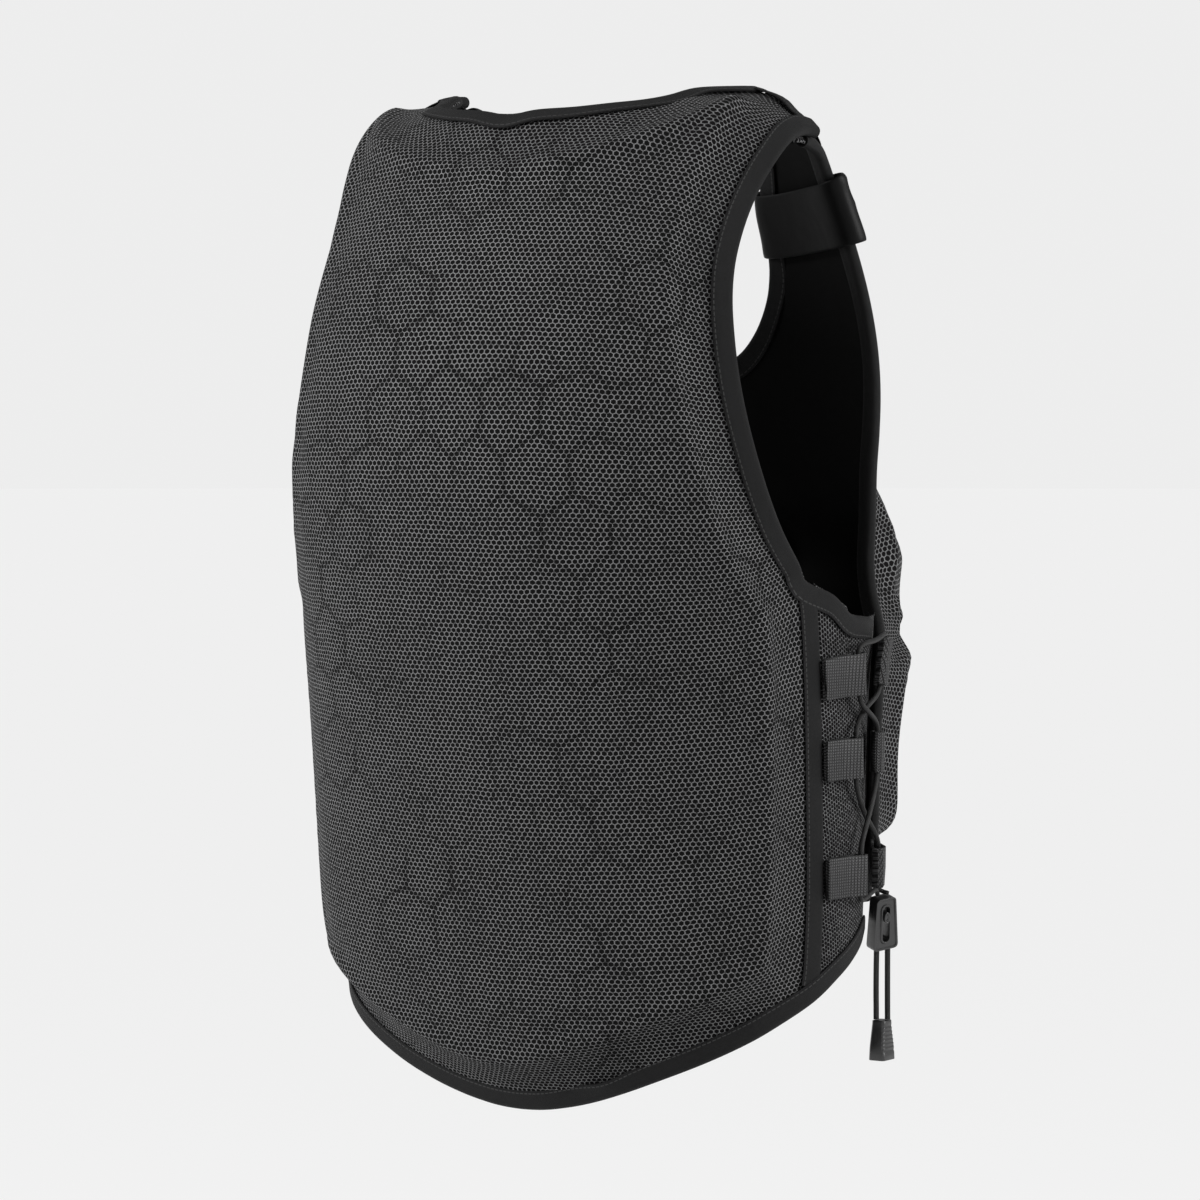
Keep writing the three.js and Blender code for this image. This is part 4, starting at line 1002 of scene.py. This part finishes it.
class VEST_OT_bindings(bpy.types.Operator):
    """Folds the binding tape round each open edge."""

    bl_idname = "vest.bindings"
    bl_label = "Bindings"

    def execute(self, context):
        reach = context.scene.vest_trim.tape_reach
        hem = {side: self.gusset_hem(Cloth(f"side_gusset_{side}", side)) for side in SIDES}
        for side in SIDES:
            self.back_tapes(Cloth("back_panel", side), Cloth(f"side_gusset_{side}", side), side, reach)
            self.front_tapes(Cloth(f"front_panel_{side}", side), side)
        right, left = (Cloth("back_panel", side) for side in SIDES)
        bottom = right.edge(right.corner("hem"), left.corner("hem"))
        whole_hem = hem["right"].joined(bottom).joined(hem["left"].turned(), own_corner=True)
        tape_round("hem_tape", whole_hem, "hem_binding")
        neck = right.edge(right.corner("strap inside"), left.corner("strap inside"))
        tape_round("neck_tape", neck.cut(NECK_GAP, NECK_GAP), "neck_binding_back")
        return {"FINISHED"}

    @staticmethod
    def without_front(edge):
        """Leaves out the stretch of a gusset's edge that the front panel covers."""
        return edge.cut(0.3 * arc(edge.middle)[-1], 0)

    def gusset_hem(self, gusset):
        """The part of a gusset's hem that the back panel's hem goes on from."""
        return self.without_front(gusset.edge(gusset.corner("low front"), gusset.corner("low rear")))

    def back_tapes(self, back, gusset, side, reach):
        seam_top, strap_out = back.point("seam top"), back.corner("strap outside")
        under_arm = self.without_front(gusset.edge(gusset.corner("top front"), gusset.corner("top rear")))
        armhole = under_arm.joined(back.edge(seam_top, strap_out)).cut(0, NECK_GAP)
        tape_round(f"armhole_tape_{side}", armhole, f"armhole_binding_{side}")
        across = back.edge(strap_out, back.corner("strap inside")).cut(STRAP_GAP, STRAP_GAP)
        tape_round(f"strap_end_tape_{side}", across, f"strap_end_binding_{side}", -0.0002)
        seam = back.edge(back.corner("hem"), seam_top).cut(0.8 * reach, 0.8 * reach)
        tape_round(f"side_tape_{side}", seam, f"side_binding_{side}", -0.0003, SEAM_COVER)

    @staticmethod
    def front_tapes(front, side):
        low_out, top_out = front.corner("hem outside"), front.corner("strap outside")
        hem = front.edge(front.corner("hem inside"), low_out)
        whole = hem.joined(front.edge(low_out, top_out)).cut(0, BARE_END)
        tape_round(f"front_tape_{side}", whole, f"front_binding_{side}")
        neckline = front.edge(front.point("neck"), front.corner("strap inside")).cut(0, BARE_END)
        tape_round(f"front_neck_tape_{side}", neckline, f"front_neck_binding_{side}", 0.0002)


# Shoulders, zip and lacing


def soften(node, levels, finish_name, angle=60):
    """A piece of cloth or cord, rounded by subdivision."""
    piece = take(node)
    subdivide(piece, levels)
    smooth(piece, angle)
    return place(piece, node, [finish(finish_name)])


def round_edges(node, finish_names, width, segments=2, body=BODY, angle=35):
    """A stiff piece with its solid's faces joined and its edges bevelled."""
    piece = take(node, quads=False)
    edit_all(piece)
    bpy.ops.mesh.dissolve_limited(angle_limit=math.radians(2))
    close_edit()
    apply_modifier(
        piece, "BEVEL", width=width, segments=segments, limit_method="ANGLE", angle_limit=math.radians(30),
        use_clamp_overlap=True,
    )
    smooth(piece, angle)
    return place(piece, node, [finish(name) for name in finish_names], body)


class VEST_OT_shoulders(bpy.types.Operator):
    """Makes the shoulder tabs and the keepers that hold them."""

    bl_idname = "vest.shoulders"
    bl_label = "Shoulder tabs and keepers"

    def execute(self, context):
        for side in SIDES:
            soften(f"shoulder_tab_{side}", 2, "flat cloth")
            soften(f"shoulder_keeper_{side}", 2, "flat cloth")
        return {"FINISHED"}


class VEST_OT_zip(bpy.types.Operator):
    """Makes the plain strip that closes the front."""

    bl_idname = "vest.zip_strip"
    bl_label = "Front zip"

    def execute(self, context):
        round_edges("front_zip", ["flat cloth"], context.scene.vest_trim.small_bevel)
        return {"FINISHED"}


class VEST_OT_loops(bpy.types.Operator):
    """Makes the webbing loops of the lacing."""

    bl_idname = "vest.loops"
    bl_label = "Lacing loops"

    def execute(self, context):
        width = context.scene.vest_trim.webbing_bevel
        for side in SIDES:
            for where in ("rear", "front"):
                for n in (1, 2, 3):
                    round_edges(f"lace_loop_{where}_{n}_{side}", ["webbing"], width, angle=50)
        return {"FINISHED"}


class VEST_OT_laces(bpy.types.Operator):
    """Makes the elastic cord that runs through the loops."""

    bl_idname = "vest.laces"
    bl_label = "Lacing cords"

    def execute(self, context):
        for side in SIDES:
            soften(f"lace_cord_{side}", 2, "cord", 80)
        return {"FINISHED"}


def tail_way(n, side):
    """Stations of one cord tail, from the lock down to the grip, to the hundredth of a millimetre."""
    start = np.array(TAIL_STARTS[n])
    drop = np.array((0, 0, TAIL_FOOT - start[2]))
    forward = TAIL_DROP * np.array(TAIL_FORWARD)
    stops = np.array([start + down * drop + along * forward for down, along in TAIL_STOPS[n]])
    stations = evenly(spline(stops, 40, 0.5), TAIL_STATIONS).round(5)
    return [on_side(side, p) for p in stations.tolist()]


class VEST_OT_tails(bpy.types.Operator):
    """Makes the two cord tails under each lock."""

    bl_idname = "vest.tails"
    bl_label = "Cord tails"

    def execute(self, context):
        diameter = context.scene.vest_trim.cord_diameter
        for side in SIDES:
            for n in TAIL_STOPS:
                points = tail_way(n, side)
                tail = self.draw_cord(f"tail_{n}_{side}", points, diameter)
                place(tail, f"tail_cord_{n}_{side}", [finish("cord")])
        return {"FINISHED"}

    @staticmethod
    def draw_cord(name, points, diameter):
        line = bpy.data.curves.new(name, "CURVE")
        line.dimensions = "3D"
        line.bevel_depth = diameter / 2
        line.bevel_resolution = 5
        line.use_fill_caps = True
        run = line.splines.new("POLY")
        run.points.add(len(points) - 1)
        for at, p in zip(run.points, points):
            at.co = (*p, 1)
        cord = bpy.data.objects.new(name, line)
        bpy.context.scene.collection.objects.link(cord)
        return cord


class VEST_OT_locks(bpy.types.Operator):
    """Makes the cord locks and their sliders."""

    bl_idname = "vest.locks"
    bl_label = "Cord locks"

    def execute(self, context):
        trim = context.scene.vest_trim
        for side in SIDES:
            lock = round_edges(f"cord_lock_{side}", ["plastic"], trim.hard_bevel, 3)
            self.sink_faces(lock, trim)
            slider = round_edges(
                f"lock_slider_{side}", ["plastic", "metal"], trim.small_bevel,
                body=f"slider_{side}",
            )
            self.add_insert(slider, side, trim)
        return {"FINISHED"}

    @staticmethod
    def sink_faces(lock, trim):
        """Sinks both broad faces a little, inside their edge and round the slot."""
        def broad_faces(form):
            out = max(form.faces, key=lambda f: f.calc_area()).normal.copy()
            return [f for f in form.faces if abs(f.normal.dot(out)) > 0.999]

        edit_faces(lock, broad_faces)
        bpy.ops.mesh.inset(thickness=trim.step_inset, depth=0, use_even_offset=False)
        bpy.ops.mesh.inset(thickness=trim.step_width, depth=-trim.step_depth, use_even_offset=False)
        close_edit()
        smooth(lock, 35)

    @staticmethod
    def add_insert(slider, side, trim):
        """Sets a metal oval into the slider's outer face."""
        out = on_side(side, (1, 0, 0))[0]

        def cap(form):
            return [max((f for f in form.faces if f.normal.x * out > 0.5), key=lambda f: f.calc_area())]

        edit_faces(slider, cap)
        bpy.ops.mesh.inset(thickness=trim.insert_inset, depth=0)
        bpy.ops.mesh.inset(thickness=trim.insert_rim, depth=-trim.insert_inset)
        bpy.ops.mesh.inset(thickness=trim.insert_rim, depth=trim.insert_rim)
        slider.active_material_index = 1
        bpy.ops.object.material_slot_assign()
        close_edit()


class VEST_OT_grips(bpy.types.Operator):
    """Makes the ribbed grips at the ends of the cord tails."""

    bl_idname = "vest.grips"
    bl_label = "Cord ends"

    def execute(self, context):
        for side in SIDES:
            round_edges(f"cord_end_{side}", ["plastic"], context.scene.vest_trim.small_bevel)
        return {"FINISHED"}


# Stage


def make_floor(look, size=40, height=-1.15):
    """A wide floor as bright as the air behind it."""
    bpy.ops.object.select_all(action="DESELECT")
    bpy.ops.mesh.primitive_circle_add(vertices=96, radius=size, fill_type="NGON", location=(0, 0, height))
    floor = bpy.context.object
    floor.name = "floor"
    material, _, shader = new_material("Floor", 0.9, 0.1)
    glow = [air * (1 - own * look.around) for air, own in zip(look.air, look.floor)]
    shader.inputs["Base Color"].default_value = (*look.floor, 1)
    shader.inputs["Emission Color"].default_value = (*glow, 1)
    shader.inputs["Emission Strength"].default_value = 1.0
    floor.data.materials.append(material)


def make_air(look):
    """Light from all round, dimmed where it lights pieces and full where the camera sees it."""
    world = bpy.data.worlds.new("Air")
    world.use_nodes = True
    tree = world.node_tree
    seen = tree.nodes.new("ShaderNodeLightPath").outputs["Is Camera Ray"]
    background = tree.nodes["Background"].inputs
    background["Color"].default_value = (*look.air, 1)
    wire(tree, background["Strength"], calc(tree, "MULTIPLY_ADD", seen, 1 - look.around, look.around))
    bpy.context.scene.world = world


def aimed(name, data, location, target):
    """Puts a light or a camera somewhere and turns it to its target."""
    item = bpy.data.objects.new(name, data)
    bpy.context.scene.collection.objects.link(item)
    item.location = location
    item.rotation_euler = (target - location).to_track_quat("-Z", "Y").to_euler()
    return item


# Where the lights are, seen from the vest's middle, in metres: towards the camera, to the left, up, and size
LIGHT_PLACES = {"key": (0.9, 2.3, 1.1, 1.2), "fill": (0.8, -2.3, 0.8, 1.3)}


class VEST_OT_stage(bpy.types.Operator):
    """Makes the floor, the lights and the camera."""

    bl_idname = "vest.stage"
    bl_label = "Stage"

    def execute(self, context):
        look = context.scene.vest_stage
        make_floor(look)
        make_air(look)
        context.scene.view_settings.view_transform = "Standard"
        lean = math.radians(34)
        towards = Vector((-math.sin(lean), math.cos(lean), 0))
        aside = Vector((towards.y, -towards.x, 0))
        middle = Vector((0, 0, -0.288))
        lens = bpy.data.cameras.new("camera")
        lens.lens = look.lens
        lens.sensor_width = 36
        lens.clip_end = 200
        context.scene.camera = aimed("camera", lens, middle + 3.0 * towards + Vector((0, 0, 0.138)), middle)
        for name, power in (("key", look.key), ("fill", look.fill)):
            near, left, up, size = LIGHT_PLACES[name]
            lamp = bpy.data.lights.new(name, "AREA")
            lamp.energy = power
            lamp.size = size
            aimed(name, lamp, middle + near * towards + left * aside + Vector((0, 0, up)), middle)
        return {"FINISHED"}


class VEST_PT_panel(bpy.types.Panel):
    """Lists the vest's settings and pieces."""

    bl_idname = "VEST_PT_panel"
    bl_label = "Body Protector"
    bl_space_type = "VIEW_3D"
    bl_region_type = "UI"
    bl_category = "Body Protector"

    def draw(self, context):
        layout = self.layout
        for group in (context.scene.vest_cloth, context.scene.vest_trim, context.scene.vest_stage):
            column = layout.column()
            for name in group.__annotations__:
                column.prop(group, name)
        for operator in OPERATORS:
            layout.operator(operator.bl_idname)


OPERATORS = (
    VEST_OT_stage, VEST_OT_grips, VEST_OT_tails, VEST_OT_panels, VEST_OT_gussets, VEST_OT_bindings,
    VEST_OT_shoulders, VEST_OT_zip, VEST_OT_loops, VEST_OT_laces, VEST_OT_locks,
)
GROUPS = {"vest_cloth": VestClothSettings, "vest_trim": VestTrimSettings, "vest_stage": VestStageSettings}


def register():
    for name, group in GROUPS.items():
        bpy.utils.register_class(group)
        setattr(bpy.types.Scene, name, bpy.props.PointerProperty(type=group))
    for cls in (*OPERATORS, VEST_PT_panel):
        bpy.utils.register_class(cls)


def unregister():
    for cls in (VEST_PT_panel, *reversed(OPERATORS)):
        bpy.utils.unregister_class(cls)
    for name, group in GROUPS.items():
        delattr(bpy.types.Scene, name)
        bpy.utils.unregister_class(group)


def main():
    register()
    for operator in OPERATORS:
        family, name = operator.bl_idname.split(".")
        result = getattr(getattr(bpy.ops, family), name)()
        if "FINISHED" not in result:
            raise RuntimeError(f"{operator.bl_label} wasn't finished")


if __name__ == "__main__":
    main()
